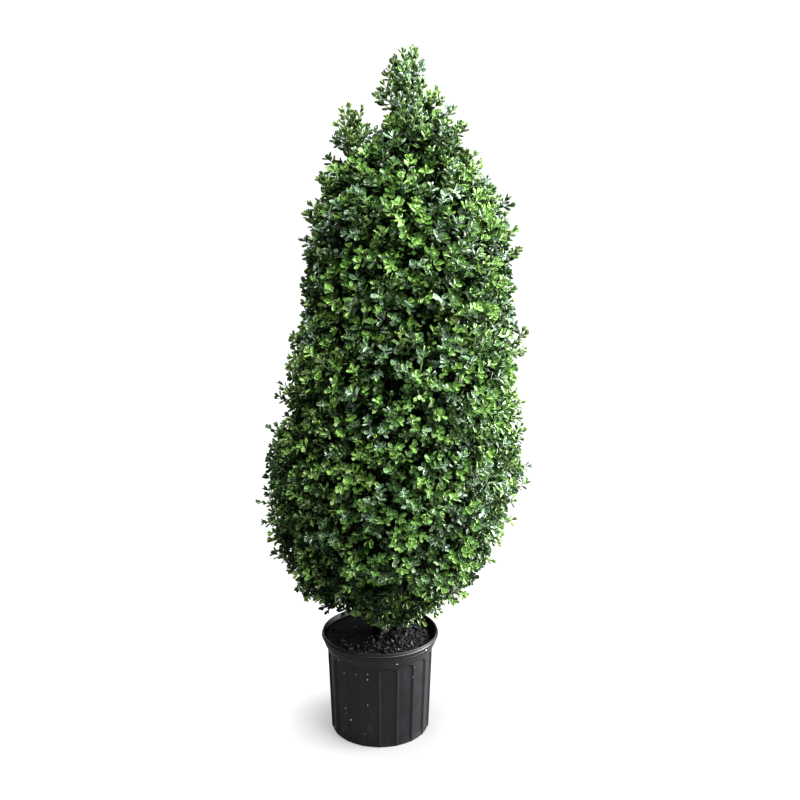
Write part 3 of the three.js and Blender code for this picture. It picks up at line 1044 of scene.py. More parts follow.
@dataclass(frozen=True)
class Ripple:
    """One scale of noise round the crown: cells round it, a cell's height, its seed and share."""

    cells: int
    height: float
    seed: int
    share: float

    def at(self, z: Array, bearing: Array) -> Array:
        """Give the noise at heights and bearings, times its share."""
        across = bearing / (2 * np.pi) * self.cells
        return self.share * lattice_noise(across, z / self.height, self.cells, self.seed)


@dataclass(frozen=True)
class Layer:
    """One layer of sprays: how many a square metre has, how deep their tips end, how they fork."""

    density: float
    depth: float
    spread: float
    twigs: int
    twig_reach: float
    twig_clear: float
    twig_spread: float


@dataclass(frozen=True)
class ToneHabit:
    """How tones are dealt to the sprays: each tone's weight, and what it gains or loses.

    A gain or loss is for a share of one: of depth inside the outline, of height near the top or
    near the foot, of the turn away from the light, and of a dimple's depth. The darker tones
    gained with depth, with the turn away from the light and in dimples are painted shade, and
    the lighter ones gained where the crown is fuller are painted light.
    near the foot, of the turn away from the light, and of a dimple's depth.
    """

    depth_full: float = 0.04
    open_full: float = 0.03
    high_from: float = 0.94
    high_to: float = 1.06
    low_from: float = 0.38
    low_span: float = 0.12
    left_full: float = 0.2
    left_power: float = 1.25
    left_fades_from: float = 0.80
    left_fades_to: float = 0.98
    dim_from: float = 0.40
    dim_to: float = 0.24
    open_loss: float = 0.75
    dim_loss: float = 0.3
    lime: float = 0.20
    lime_depth_loss: float = 0.7
    lime_high_loss: float = 0.6
    bright: float = 0.32
    bright_depth_loss: float = 0.3
    bright_high_loss: float = 0.4
    middle: float = 0.24
    deep: float = 0.06
    deep_depth_gain: float = 0.3
    deep_dim_gain: float = 1.6
    deep_high_gain: float = 0.10
    deep_open_gain: float = 4.0
    blue: float = 0.24
    blue_dim_loss: float = 0.14
    blue_high_gain: float = 0.12
    olive: float = 0.02
    olive_dim_gain: float = 0.3
    olive_low_gain: float = 0.25
    stray_share: float = 0.48
    stray_dim_loss: float = 0.6
    stray_choice: tuple[int, ...] = (
        Tone.LIME.value, Tone.BRIGHT.value, Tone.BRIGHT.value, Tone.MIDDLE.value,
        Tone.MIDDLE.value, Tone.BLUE.value, Tone.BLUE.value, Tone.DEEP.value,
    )

    def dimness(self, points: Array) -> Array:
        """Give 0 to 1 as the crown turns away from the light: low down, and on its lower left."""
        fade = smooth_step(self.left_fades_from, self.left_fades_to, points[:, 2])
        left = np.clip(-points[:, 0] / self.left_full, 0, 1) ** self.left_power * (1 - fade)
        return np.maximum(left, smooth_step(-self.dim_from, -self.dim_to, -points[:, 2]))

    def weights(self, points: Array, inside: Array, open_depth: Array) -> Array:
        """Weigh the tones from lime to olive for each point.

        Args:
            points: shape (n, 3).
            inside: how far inside the outline each is, in metres.
            open_depth: how deep the dimple is there.

        Returns:
            Weights of shape (n, 6), which don't add up to one.
        """
        depth = np.clip(inside, 0, self.depth_full) / self.depth_full
        low = np.clip((self.low_from - points[:, 2]) / self.low_span, 0, 1)
        high = smooth_step(self.high_from, self.high_to, points[:, 2])
        dim = self.dimness(points)
        open_share = np.clip(open_depth / self.open_full, -1, 1)
        # painted light and shade: lime and bright fade and deep grows in dimples and where the crown is
        # dim, and the reverse where it is fuller
        light = (1 - self.open_loss * open_share) * (1 - self.dim_loss * dim)
        shade = 1 + np.maximum(self.deep_open_gain * open_share, open_share)
        lime = self.lime * (1 - self.lime_depth_loss * depth) * (1 - self.lime_high_loss * high)
        bright = self.bright * (1 - self.bright_depth_loss * depth)
        bright = bright * (1 - self.bright_high_loss * high)
        # painted shade: deep grows with depth inside the outline and where the crown is dim
        deep = self.deep + self.deep_depth_gain * depth + self.deep_dim_gain * dim
        deep = deep + self.deep_high_gain * high
        return np.stack([
            lime * light,
            bright * light,
            np.full(len(points), self.middle),
            deep * shade,
            self.blue - self.blue_dim_loss * dim + self.blue_high_gain * high,
            self.olive + self.olive_dim_gain * dim + self.olive_low_gain * low,
        ], axis=1)


@dataclass(frozen=True)
class LeafHabit:
    """Where leaves stand on a shoot: distances back from its tip, angles, sizes and tones.

    Each station has a pair of leaves. They are longer higher up, now and then one is lost or
    takes a near tone, and many of those far back take a darker tone as painted shade.
    """

    rim: LeafShape = SPOON_RIM
    # the dish faces, painted a darker tone as shade
    dish: LeafShape = SPOON_DISH
    older: LeafShape = PLAIN_LEAF
    stations: tuple[float, ...] = (0.0, 0.0018, 0.0060, 0.0115, 0.0185, 0.0265, 0.0355, 0.0450)
    angles: tuple[float, ...] = (25.0, 48.0, 60.0, 65.0, 68.0, 70.0, 71.0, 72.0)
    sizes: tuple[float, ...] = (0.64, 0.90, 1.03, 1.05, 1.05, 1.02, 0.98, 0.95)
    nearest: float = 0.92
    farthest: float = 1.1
    least_share: float = 0.02
    bare_foot: float = 0.93
    lost: float = 0.03
    angle_spread: float = 9.0
    roll_spread: float = 12.0
    twist_spread: float = 10.0
    size_spread: float = 0.10
    taller: float = 0.20
    taller_from: float = 0.45
    taller_to: float = 1.10
    own_tone: float = 0.14
    moss_share: float = 0.25
    tone: Tone | None = None
    older_from: int = 4
    # painted shade: the share at each station that takes a darker tone, deep or moss, behind the
    # rosettes
    dull_shares: tuple[float, ...] = (0.0, 0.0, 0.0, 0.5, 0.75, 0.85, 0.9, 0.9)
    seed: int = 8

    def directions(self, random: np.random.Generator, heading: Array) -> tuple[Array, Array]:
        """Turn pairs of leaves out from a shoot, each pair a quarter round from the one before.

        A midrib is ahead * cos a + out * sin a, and a face ahead * sin a - out * cos a with a
        small twist about the midrib, where a is the leaf's angle from the shoot.

        Args:
            random: where the numbers are drawn from.
            heading: the shoots' unit directions, shape (shoots, stations, 3).

        Returns:
            The directions of the midribs and of the faces.
        """
        shape = heading.shape[:2] + (2,)
        side, upper = square_to(heading)
        first_turn = random.uniform(0, 2 * np.pi, (shape[0], 1))
        quarter = np.arange(shape[1]) * np.pi / 2 + first_turn
        roll = np.radians(random.normal(0, self.roll_spread, shape))
        turn = (quarter[:, :, None] + np.array([0, np.pi]) + roll)[..., None]
        out = side[:, :, None] * np.cos(turn) + upper[:, :, None] * np.sin(turn)
        angle = np.array(self.angles)[None, :, None] + random.normal(0, self.angle_spread, shape)
        spread = np.radians(angle)[..., None]
        ahead = heading[:, :, None]
        along = ahead * np.cos(spread) + out * np.sin(spread)
        face = ahead * np.sin(spread) - out * np.cos(spread)
        twist = np.radians(random.normal(0, self.twist_spread, shape))[..., None]
        return along, face * np.cos(twist) + np.cross(along, face) * np.sin(twist)

    def leaf_tones(self, random: np.random.Generator, shoot_tones: Array) -> Array:
        """Give each leaf its shoot's tone, now and then a near one, and far back a darker one as
        painted shade.

        Args:
            random: where the numbers are drawn from.
            shoot_tones: the tone of each shoot.

        Returns:
            The number of each leaf's tone, shape (shoots, stations, 2).
        """
        stations = len(self.stations)
        shape = (len(shoot_tones), stations, 2)
        tone = np.broadcast_to(shoot_tones[:, None, None], shape)
        near = np.array([NEAR_TONES[kind] for kind in Tone])[tone, random.integers(0, 2, shape)]
        tone = np.where(random.uniform(0, 1, shape) < self.own_tone, near, tone)
        # painted shade: far back on a shoot, leaves take a darker tone, deep or moss
        mossy = random.uniform(0, 1, shape) < self.moss_share
        shaded_share = np.array(self.dull_shares)[None, :stations, None]
        shaded = random.uniform(0, 1, shape) < shaded_share
        tone = np.where(shaded, np.where(mossy, Tone.MOSS.value, Tone.DEEP.value), tone)
        return tone if self.tone is None else np.full(shape, self.tone.value)


# painted shade: the inner leaves all take the near-black SHADE tone, so that the gaps between the
# sprays look dark
INNER_LEAVES = LeafHabit(
    stations=(0.0, 0.012, 0.026, 0.042), angles=(35.0, 55.0, 65.0, 70.0),
    sizes=(1.5, 1.5, 1.5, 1.5), older_from=0, tone=Tone.SHADE,
)
TALL_LEAVES = LeafHabit(
    stations=(0.0, 0.0040, 0.0125, 0.0225, 0.0330, 0.0440, 0.0550),
    angles=(24.0, 36.0, 44.0, 48.0, 50.0, 52.0, 54.0),
    sizes=(0.74, 0.90, 1.0, 1.03, 1.03, 1.0, 0.95),
    dull_shares=(0.0, 0.0, 0.0, 0.1, 0.2, 0.3, 0.3), older_from=6, seed=12,
)


@dataclass(frozen=True)
class Spire:
    """A shoot that stands clear of the outline: millimetres, and degrees of lean to the right."""

    mass: int
    x: int
    y: int
    z: int
    lean: int
    length: int
    tone: Tone


@dataclass(frozen=True)
class Dimple:
    """A place where the crown is more open, or fuller if its depth is negative: degrees, metres."""

    bearing: float
    z: float
    reach: float
    depth: float


@dataclass(frozen=True)
class Stalk:
    """A bare pale stalk that shows in a dimple: its mass, its two ends, and its thickness."""

    mass: int
    root: tuple[float, float, float]
    tip: tuple[float, float, float]
    radius: float


DIMPLES = (
    Dimple(-82, 0.716, 0.038, 0.075),
    Dimple(-84, 1.050, 0.038, 0.045),
    Dimple(-100, 0.646, 0.050, 0.060),
    Dimple(-77, 0.782, 0.036, 0.040),
    Dimple(-106, 0.916, 0.055, -0.030),
    Dimple(-98, 0.504, 0.045, -0.030),
    Dimple(-110, 0.427, 0.050, -0.030),
)
STALKS = (
    Stalk(2, (0.068, -0.164, 0.694), (0.0755, -0.168, 0.745), 0.0016),
    Stalk(2, (0.072, -0.167, 0.722), (0.084, -0.174, 0.738), 0.0009),
    Stalk(2, (0.072, -0.167, 0.722), (0.065, -0.172, 0.729), 0.0009),
)
SPIRES_BY_MASS = {
    5: (
        (57, 0, 1219, 4, 80, Tone.MIDDLE), (41, -8, 1212, -8, 75, Tone.MIDDLE),
        (65, 6, 1208, 12, 75, Tone.BLUE), (73, -4, 1196, 18, 70, Tone.BLUE),
        (28, 4, 1202, -14, 75, Tone.OLIVE), (18, -4, 1187, -18, 65, Tone.OLIVE),
        (50, -12, 1190, 0, 70, Tone.MIDDLE), (46, 30, 1188, 2, 70, Tone.MIDDLE),
        (52, -38, 1166, 4, 65, Tone.MIDDLE), (60, 52, 1162, 8, 70, Tone.OLIVE),
        (36, -58, 1138, -6, 65, Tone.BLUE), (50, 76, 1136, 4, 70, Tone.BRIGHT),
        (66, -72, 1122, 12, 60, Tone.MIDDLE), (6, -6, 1165, -26, 65, Tone.MIDDLE),
        (3, -2, 1150, -34, 65, Tone.OLIVE), (76, -10, 1166, 14, 65, Tone.MIDDLE),
        (99, -4, 1152, 24, 80, Tone.BRIGHT), (108, 4, 1138, 32, 70, Tone.OLIVE),
    ),
    4: (
        (128, 2, 1123, 30, 70, Tone.BLUE), (-49, 4, 1127, -8, 85, Tone.OLIVE),
        (-26, -6, 1122, 14, 75, Tone.OLIVE), (-40, -14, 1112, 2, 70, Tone.MIDDLE),
        (-60, -4, 1109, -18, 75, Tone.LIME), (-56, -20, 1096, -10, 70, Tone.MIDDLE),
        (-26, -22, 1092, 8, 65, Tone.MIDDLE), (-44, -30, 1084, -2, 65, Tone.OLIVE),
        (-66, -14, 1082, -22, 65, Tone.BLUE), (-34, 24, 1096, 4, 70, Tone.DEEP),
        (-66, 6, 1080, -26, 70, Tone.OLIVE), (139, -4, 1098, 30, 65, Tone.MIDDLE),
        (165, -4, 1048, 34, 70, Tone.OLIVE), (171, -10, 1036, 36, 70, Tone.BRIGHT),
    ),
    3: (
        (-98, 0, 1015, -34, 65, Tone.OLIVE), (-118, 0, 966, -40, 65, Tone.MIDDLE),
        (198, 5, 992, 28, 75, Tone.MIDDLE), (222, 0, 975, 46, 70, Tone.DEEP),
        (238, 0, 922, 50, 75, Tone.BRIGHT), (245, 0, 888, 52, 75, Tone.OLIVE),
        (238, 0, 822, 56, 70, Tone.MIDDLE),
    ),
    2: (
        (262, 0, 744, 58, 75, Tone.OLIVE), (258, 0, 716, 60, 80, Tone.BRIGHT),
        (258, 0, 622, 58, 75, Tone.BRIGHT), (254, 4, 600, 66, 70, Tone.MIDDLE),
        (-178, 0, 656, -52, 75, Tone.OLIVE), (-184, 4, 634, -58, 70, Tone.DEEP),
    ),
    1: (
        (-200, 0, 576, -50, 80, Tone.MIDDLE), (262, 0, 570, 64, 80, Tone.OLIVE),
        (-211, 0, 462, -66, 80, Tone.DEEP), (-224, 0, 436, -78, 80, Tone.OLIVE),
        (-203, 0, 363, -86, 80, Tone.OLIVE),
    ),
    0: (
        (214, 0, 322, 96, 80, Tone.BRIGHT), (160, 0, 254, 122, 70, Tone.OLIVE),
        (-143, 0, 256, -112, 80, Tone.DEEP), (-101, 0, 220, -142, 70, Tone.DEEP),
        (-88, 12, 226, -150, 65, Tone.OLIVE), (-70, -8, 216, -156, 65, Tone.DEEP),
        (113, -40, 238, 128, 70, Tone.BRIGHT), (-18, -72, 232, 190, 65, Tone.OLIVE),
        (-10, -64, 228, 184, 60, Tone.MIDDLE), (-2, -80, 230, 176, 65, Tone.OLIVE),
        (2, -58, 222, 178, 55, Tone.MIDDLE), (6, -84, 226, 178, 60, Tone.BRIGHT),
        (11, -70, 222, 172, 60, Tone.MIDDLE), (16, -74, 225, 184, 60, Tone.MIDDLE),
        (24, -80, 233, 176, 60, Tone.OLIVE), (32, -70, 235, 182, 60, Tone.BRIGHT),
        (40, -86, 242, 170, 65, Tone.BRIGHT), (58, -88, 240, 158, 65, Tone.LIME),
    ),
}
SPIRES = tuple(Spire(mass, *row) for mass, rows in SPIRES_BY_MASS.items() for row in rows)


@dataclass(frozen=True)
class Gauge:
    """How a kind of twig is drawn: its rings, the sides of each, its radius at root and tip."""

    rows: int
    sides: int
    root: float
    tip: float


@dataclass(frozen=True)
class BoughHabit:
    """How the hidden boughs grow off the stem: metres, degrees, and shares of a bough's reach."""

    count: int = 72
    lowest: float = 0.235
    span: float = 0.80
    crowding: float = 1.1
    rise_share: float = 0.7
    more_rise: float = 12.0
    likely_reach: float = 0.10
    clear: float = 0.085
    least_reach: float = 0.02
    bend_out: float = 0.55
    bend_up: float = 0.3
    lowest_thick: float = 0.0058
    highest_thick: float = 0.0032
    taper: float = 0.45
    rows: int = 9
    sides: int = 7
    knots: int = 7
    first_knot: float = 0.25
    climb_cost: float = 1.5
    branchlet_bend: float = 0.45


@dataclass
class Crown:
    """The clipped crown: boughs off the stem, branchlets, sprays of twigs, and leaves."""

    outline: CrownOutline = CrownOutline()
    habit: SprayHabit = SprayHabit()
    tones: ToneHabit = ToneHabit()
    bough_habit: BoughHabit = BoughHabit()
    leaves: LeafHabit = LeafHabit()
    inner_leaves: LeafHabit = INNER_LEAVES
    tall_leaves: LeafHabit = TALL_LEAVES
    spires: tuple[Spire, ...] = SPIRES
    dimples: tuple[Dimple, ...] = DIMPLES
    stalks: tuple[Stalk, ...] = STALKS
    face_layer: Layer = Layer(800.0, 0.009, 0.010, 4, 0.84, 0.009, 0.015)
    inner_layers: tuple[Layer, ...] = (
        Layer(430.0, 0.046, 0.012, 3, 0.9, 0.036, 0.010),
        Layer(260.0, 0.086, 0.014, 3, 0.9, 0.070, 0.012),
    )
    spire_layer: Layer = Layer(0.0, 0.0, 0.0, 2, 0.50, -0.030, 0.0)
    ripples: tuple[Ripple, ...] = (Ripple(18, 0.075, 51, 0.65), Ripple(36, 0.040, 52, 0.6))
    stem_gauge: Gauge = Gauge(4, 3, 0.0014, 0.0007)
    twig_gauge: Gauge = Gauge(3, 3, 0.0010, 0.0006)
    branchlet_gauge: Gauge = Gauge(4, 3, 0.0021, 0.0014)
    stalk_rows: int = 5
    stalk_sides: int = 8
    stalk_taper: float = 0.8
    tip_leaf: float = 0.008
    area_steps: int = 80
    least_places: int = 3

    def __post_init__(self) -> None:
        """Start the draw of random numbers."""
        self.random = np.random.default_rng(self.habit.seed)

    def places(self, number: int, density: float) -> tuple[Array, Array]:
        """Spread places evenly over one mass's outline, in a spiral of golden turns.

        Each height holds the same share of the outline's area, which grows with its radius and
        with its slant.

        Args:
            number: which mass.
            density: how many places a square metre has.

        Returns:
            The heights and the bearings.
        """
        foot, top = self.outline.masses[number].foot, self.outline.top_of(number)
        z = np.linspace(foot, top, self.area_steps)
        radius = self.outline.plain_radius(z)
        slant = np.sqrt(1 + np.gradient(radius, z) ** 2)
        area = np.concatenate([[0], np.cumsum((radius * slant)[:-1] * np.diff(z))]) * 2 * np.pi
        count = max(self.least_places, int(round(density * area[-1])))
        turn = np.arange(count)
        heights = np.interp((turn + 0.5) / count * area[-1], area, z)
        bearings = turn * GOLDEN_ANGLE + number
        bearings = bearings + self.random.normal(0, self.habit.place_jitter, count)
        return heights, (bearings + np.pi) % (2 * np.pi) - np.pi

    def sprays(self, layer: Layer) -> Shoots:
        """Grow the main stem of each spray in a layer.

        A stem's tip lies on the outline less its depth. It leans out at its mass's rise, steeper
        towards the mass's top, with some wander.

        Args:
            layer: how many there are and how deep their tips end.

        Returns:
            The sprays' stems.
        """
        habit = self.habit
        groups = []
        for number, mass in enumerate(self.outline.masses):
            z, bearing = self.places(number, layer.density * mass.fullness)
            inner = self.outline.plain_radius(z) > layer.depth + habit.least_core
            z, bearing = z[inner], bearing[inner]
            count = len(z)
            inside = np.abs(self.random.normal(0, layer.spread, count)) + self.hollows(z, bearing)
            stray = self.random.uniform(0, 1, count) < habit.stray_share
            inside = layer.depth + np.where(stray, -habit.stray_reach, inside)
            radius = np.maximum(self.outline.radius(z, bearing) - inside, habit.least_radius)
            share = (z - mass.foot) / (self.outline.top_of(number) - mass.foot)
            rise = mass.rise + habit.steepen * (share - 0.5)
            rise = np.radians(rise + self.random.normal(0, habit.wander, count))
            swing = bearing + np.radians(self.random.normal(0, habit.wander, count))
            heading = round_axis(np.cos(rise), swing, np.sin(rise))
            tip = round_axis(radius, bearing, z, self.outline.stem.x_at(z))
            tip = tip + self.outline.pull_in(tip, layer.depth - habit.stray_reach * stray)
            length = habit.length + self.random.normal(0, habit.length_spread, count)
            tone = np.full(count, Tone.DEEP.value)
            own = np.full(count, number)
            groups.append(self.bowed(tip, heading, length, habit.bow, own, tone))
        return Shoots.together(groups)

    def hollows(self, z: Array, bearing: Array) -> Array:
        """Give how much deeper the tips end where the crown is hollow: noise and dimples.

        Args:
            z: heights.
            bearing: turns, in radians.

        Returns:
            Depths of zero or more.
        """
        noise = sum(ripple.at(z, bearing) for ripple in self.ripples)
        depth = self.habit.hollow_depth * np.clip(noise, 0, 1)
        return np.maximum(depth + self.openness(z, bearing), 0)

    def openness(self, z: Array, bearing: Array) -> Array:
        """Add up the dimples' depths, each of which fades with the square of the way from it.

        Args:
            z: heights.
            bearing: turns, in radians.

        Returns:
            Depths, below zero where the crown is fuller.
        """
        depth = np.zeros(len(z))
        for dimple in self.dimples:
            turned = bearing - np.radians(dimple.bearing)
            arc = np.arctan2(np.sin(turned), np.cos(turned)) * self.outline.plain_radius(z)
            away = (arc ** 2 + (z - dimple.z) ** 2) / dimple.reach ** 2
            depth = depth + dimple.depth * np.clip(1 - away, 0, 1)
        return depth

    def bowed(
        self, tip: Array, heading: Array, length: Array, bow: float, mass: Array, tone: Array,
    ) -> Shoots:
        """Grow stems back from their tips, each bowed at random by a share of its length.

        Args:
            tip: where they end.
            heading: their unit directions.
            length: their lengths.
            bow: how far they are bowed, as a share of the length.
            mass: the number of each one's mass.
            tone: the number of each one's tone.

        Returns:
            The stems.
        """
        root = tip - heading * length[:, None]
        bend = (root + tip) / 2 + self.random.normal(0, bow, tip.shape) * length[:, None]
        return Shoots(root, bend, tip, mass, tone)

    def spire_stems(self) -> Shoots:
        """Grow the shoots that stand clear of the outline."""
        lean = np.radians([spire.lean for spire in self.spires])
        heading = np.stack([np.sin(lean), np.zeros(len(lean)), np.cos(lean)], axis=1)
        ends = np.array([(spire.x, spire.y, spire.z) for spire in self.spires]) / MILLIMETRES
        length = np.array([spire.length for spire in self.spires]) / MILLIMETRES
        mass = np.array([spire.mass for spire in self.spires])
        tone = np.array([spire.tone.value for spire in self.spires])
        tip = ends - heading * self.tip_leaf
        return self.bowed(tip, heading, length, self.habit.spire_bow, mass, tone)

    def side_twigs(self, stems: Shoots, layer: Layer) -> Shoots:
        """Fork side twigs off each stem, a golden turn apart, that bend back along the stem.

        A twig's length is a share of what is left of its stem above its fork.

        Args:
            stems: the stems.
            layer: how many twigs each has, their reach, and how far inside their tips stay. A
                clearance below zero lets them go.

        Returns:
            The side twigs.
        """
        habit = self.habit
        total, count = len(stems), layer.twigs
        each = (total, count)
        share = np.linspace(habit.first_fork, habit.last_fork, count)
        share = share + self.random.normal(0, habit.fork_jitter, each)
        share = np.clip(share, habit.lowest_fork, habit.highest_fork)
        root = stems.at(share)
        heading = stems.heading(share)
        side, upper = square_to(heading)
        turn = GOLDEN_ANGLE * np.arange(count) + self.random.uniform(0, 2 * np.pi, (total, 1))
        turn = (turn + self.random.normal(0, habit.turn_jitter, each))[..., None]
        fork = habit.fork + self.random.normal(0, habit.fork_spread, each)
        fork = np.radians(fork)[..., None]
        out = side * np.cos(turn) + upper * np.sin(turn)
        first = heading * np.cos(fork) + out * np.sin(fork)
        then = unit(first * (1 - habit.straighten) + heading * habit.straighten)
        left = stems.length()[:, None] * (1 - share)
        longer = self.random.uniform(habit.shortest_twig, habit.longest_twig, each)
        length = (left * (layer.twig_reach * longer) + habit.least_twig)[..., None]
        bend = root + first * length / 2
        tip = bend + then * length / 2
        root, bend, tip = (array.reshape(-1, 3) for array in (root, bend, tip))
        clear = np.abs(self.random.normal(0, layer.twig_spread, total * count))
        move = self.outline.pull_in(tip, layer.twig_clear + clear) * (layer.twig_clear > 0)
        mass = np.repeat(stems.mass, count)
        return Shoots(root, bend + move / 2, tip + move, mass, np.repeat(stems.tone, count))

    def deal_tones(self, stems: Shoots) -> Array:
        """Deal each spray its tone at random, by the weights at its tip, which paint shade into it
        deeper in, in dimples and away from the light.

        Args:
            stems: the sprays' stems.

        Returns:
            The number of each one's tone.
        """
        _, bearing = self.outline.around(stems.tip)
        open_depth = self.openness(stems.tip[:, 2], bearing)
        weights = self.tones.weights(stems.tip, self.outline.room(stems.tip), open_depth)
        steps = np.cumsum(weights / weights.sum(axis=1, keepdims=True), axis=1)
        return np.sum(self.random.uniform(0, 1, (len(stems), 1)) > steps, axis=1)

    def stray_tones(self, twigs: Shoots) -> Array:
        """Let some of the side twigs take a tone of their own."""
        own = self.random.choice(self.tones.stray_choice, len(twigs))
        # fewer strays where the crown is dim, so that its painted shade holds
        lit = 1 - self.tones.stray_dim_loss * self.tones.dimness(twigs.tip)
        strays = self.random.uniform(0, 1, len(twigs)) < self.tones.stray_share * lit
        return np.where(strays, own, twigs.tone)

    def leaf_sites(self, shoots: Shoots, habit: LeafHabit) -> dict[str, Array]:
        """Stand pairs of leaves on each shoot.

        Args:
            shoots: the leafy shoots.
            habit: where the leaves stand.

        Returns:
            Each leaf's foot, midrib direction, face direction, size share, mass, tone and age.
        """
        random = np.random.default_rng(habit.seed + len(shoots))
        stations = len(habit.stations)
        shape = (len(shoots), stations, 2)
        stretch = random.uniform(habit.nearest, habit.farthest, (len(shoots), 1))
        back = np.array(habit.stations) * stretch
        length = shoots.length()[:, None]
        share = np.clip(1 - back / length, habit.least_share, 1)
        foot = shoots.at(share)
        along, face = habit.directions(random, shoots.heading(share))
        size = 1 + random.normal(0, habit.size_spread, shape)
        size = np.array(habit.sizes)[None, :, None] * size
        height = smooth_step(habit.taller_from, habit.taller_to, foot[..., 2])
        size = size * (1 + habit.taller * height)[:, :, None]
        tone = habit.leaf_tones(random, shoots.tone)
        fits = (back < habit.bare_foot * length)[:, :, None]
        keep = fits & (random.uniform(0, 1, shape) > habit.lost)
        older = np.arange(stations)[None, :, None] >= habit.older_from
        return {
            "foot": np.broadcast_to(foot[:, :, None], shape + (3,))[keep],
            "along": along[keep],
            "face": face[keep],
            "size": size[keep],
            "mass": np.broadcast_to(shoots.mass[:, None, None], shape)[keep],
            "tone": tone[keep],
            "older": np.broadcast_to(older, shape)[keep],
        }

    def boughs(self) -> Shoots:
        """Grow boughs off the stem in a golden spiral, out to where the sprays begin."""
        habit, outline = self.bough_habit, self.outline
        turn = np.arange(habit.count)
        start = habit.lowest + ((turn + 0.5) / habit.count) ** habit.crowding * habit.span
        bearing = turn * GOLDEN_ANGLE
        number = outline.mass_at(start)
        rises = np.array([mass.rise for mass in outline.masses])
        climb = np.tan(np.radians(rises[number] * habit.rise_share + habit.more_rise))
        room = outline.radius(start + habit.likely_reach * climb, bearing) - habit.clear
        reach = np.maximum(room, habit.least_reach)
        root = np.stack([outline.stem.x_at(start), np.zeros(habit.count), start], axis=1)
        tip = root + round_axis(reach, bearing, reach * climb)
        bend = root + round_axis(reach * habit.bend_out, bearing, reach * climb * habit.bend_up)
        return Shoots(root, bend, tip, number, np.zeros(habit.count, int))

    def branchlets(self, boughs: Shoots, stems: Shoots) -> Shoots:
        """Join each spray's root to the nearest stretch of a bough that lies below and inside it.

        Args:
            boughs: the boughs.
            stems: the sprays' stems.

        Returns:
            One branchlet for each spray.
        """
        habit = self.bough_habit
        share = np.linspace(habit.first_knot, 1, habit.knots)
        knots = boughs.at(np.broadcast_to(share, (len(boughs), habit.knots))).reshape(-1, 3)
        offset = stems.root[:, None] - knots[None]
        cost = np.linalg.norm(offset, axis=2) + habit.climb_cost * np.maximum(-offset[..., 2], 0)
        start = knots[np.argmin(cost, axis=1)]
        heading = stems.heading(np.zeros(len(stems)))
        span = np.linalg.norm(stems.root - start, axis=1)[:, None]
        bend = stems.root - heading * span * habit.branchlet_bend
        return Shoots(start, bend, stems.root, stems.mass, stems.tone)

    def build(self, effects: SharedEffects) -> None:
        """Build and dress the whole crown, one piece for each kind and tone in each mass."""
        face = self.sprays(self.face_layer)
        face.tone = self.deal_tones(face)
        spires = self.spire_stems()
        face_twigs = self.side_twigs(face, self.face_layer)
        face_twigs.tone = self.stray_tones(face_twigs)
        spire_twigs = self.side_twigs(spires, self.spire_layer)
        inner = [self.sprays(layer) for layer in self.inner_layers]
        inner_twigs = [self.side_twigs(s, layer) for s, layer in zip(inner, self.inner_layers)]
        sites = self.leaf_sites(Shoots.together([face, face_twigs]), self.leaves)
        tall = self.leaf_sites(Shoots.together([spires, spire_twigs]), self.tall_leaves)
        fill = self.leaf_sites(Shoots.together(inner + inner_twigs), self.inner_leaves)
        LOG.info("leaves: %d outside, %d inside", len(sites["foot"]), len(fill["foot"]))
        self.dress_leaves([sites, tall, fill], effects)
        stems = Shoots.together([face, spires] + inner)
        twigs = Shoots.together([face_twigs, spire_twigs] + inner_twigs)
        boughs = self.boughs()
        self.dress_twigs(stems, twigs, self.branchlets(boughs, stems), effects)
        self.dress_boughs(boughs)
        self.dress_stalks()

    def dress_leaves(self, groups: list[dict[str, Array]], effects: SharedEffects) -> None:
        """Make a piece of all the leaves of one tone in one mass: rims, dishes painted a darker tone as
        shade, and plain ones.
        """
        dish_shade_tones = np.array([DISH_SHADE_TONES[kind].value for kind in Tone])
        for finish in LEAF_FINISHES:
            material = finish.build(effects)
            for number, mass in enumerate(self.outline.masses):
                parts = []
                for sites in groups:
                    here = sites["mass"] == number
                    own = here & (sites["tone"] == finish.tone.value)
                    # painted shade: the dishes whose darker tone is this finish's
                    dish = here & (dish_shade_tones[sites["tone"]] == finish.tone.value)
                    parts.append(self.blades(sites, own & ~sites["older"], self.leaves.rim))
                    parts.append(self.blades(sites, dish & ~sites["older"], self.leaves.dish))
                    parts.append(self.blades(sites, own & sites["older"], self.leaves.older))
                points, faces = merged(parts)
                if len(faces):
                    name = f"{mass.node}_leaves_{finish.tone.label}"
                    build_piece(name, points, faces, material, (mass.node,))

    def blades(self, sites: dict[str, Array], pick: Array, shape: LeafShape) -> tuple[Array, Array]:
        """Build the blades of one shape at the picked sites."""
        foot, along, face = sites["foot"][pick], sites["along"][pick], sites["face"][pick]
        return shape.blades(foot, along, face, shape.length * sites["size"][pick])

    def dress_twigs(
        self, stems: Shoots, twigs: Shoots, branchlets: Shoots, effects: SharedEffects,
    ) -> None:
        """Make a piece of all the twigs in one mass."""
        material = TwigFinish().build(effects)
        kinds = (
            (stems, self.stem_gauge), (twigs, self.twig_gauge), (branchlets, self.branchlet_gauge),
        )
        for number, mass in enumerate(self.outline.masses):
            parts = []
            for shoots, gauge in kinds:
                own = shoots.chosen(shoots.mass == number)
                thick, thin = np.full(len(own), gauge.root), np.full(len(own), gauge.tip)
                parts.append(tubes(own, gauge.rows, gauge.sides, thick, thin))
            points, faces = merged(parts)
            build_piece(f"{mass.node}_twigs", points, faces, material, (mass.node,))

    def dress_boughs(self, boughs: Shoots) -> None:
        """Make one piece of the boughs, which stand for part of the stem's solid."""
        habit = self.bough_habit
        thick = np.linspace(habit.lowest_thick, habit.highest_thick, len(boughs))
        points, faces = tubes(boughs, habit.rows, habit.sides, thick, thick * habit.taper)
        material = bpy.data.materials[BarkFinish.name]
        build_piece("stem_boughs", points, faces, material, ("trunk",))

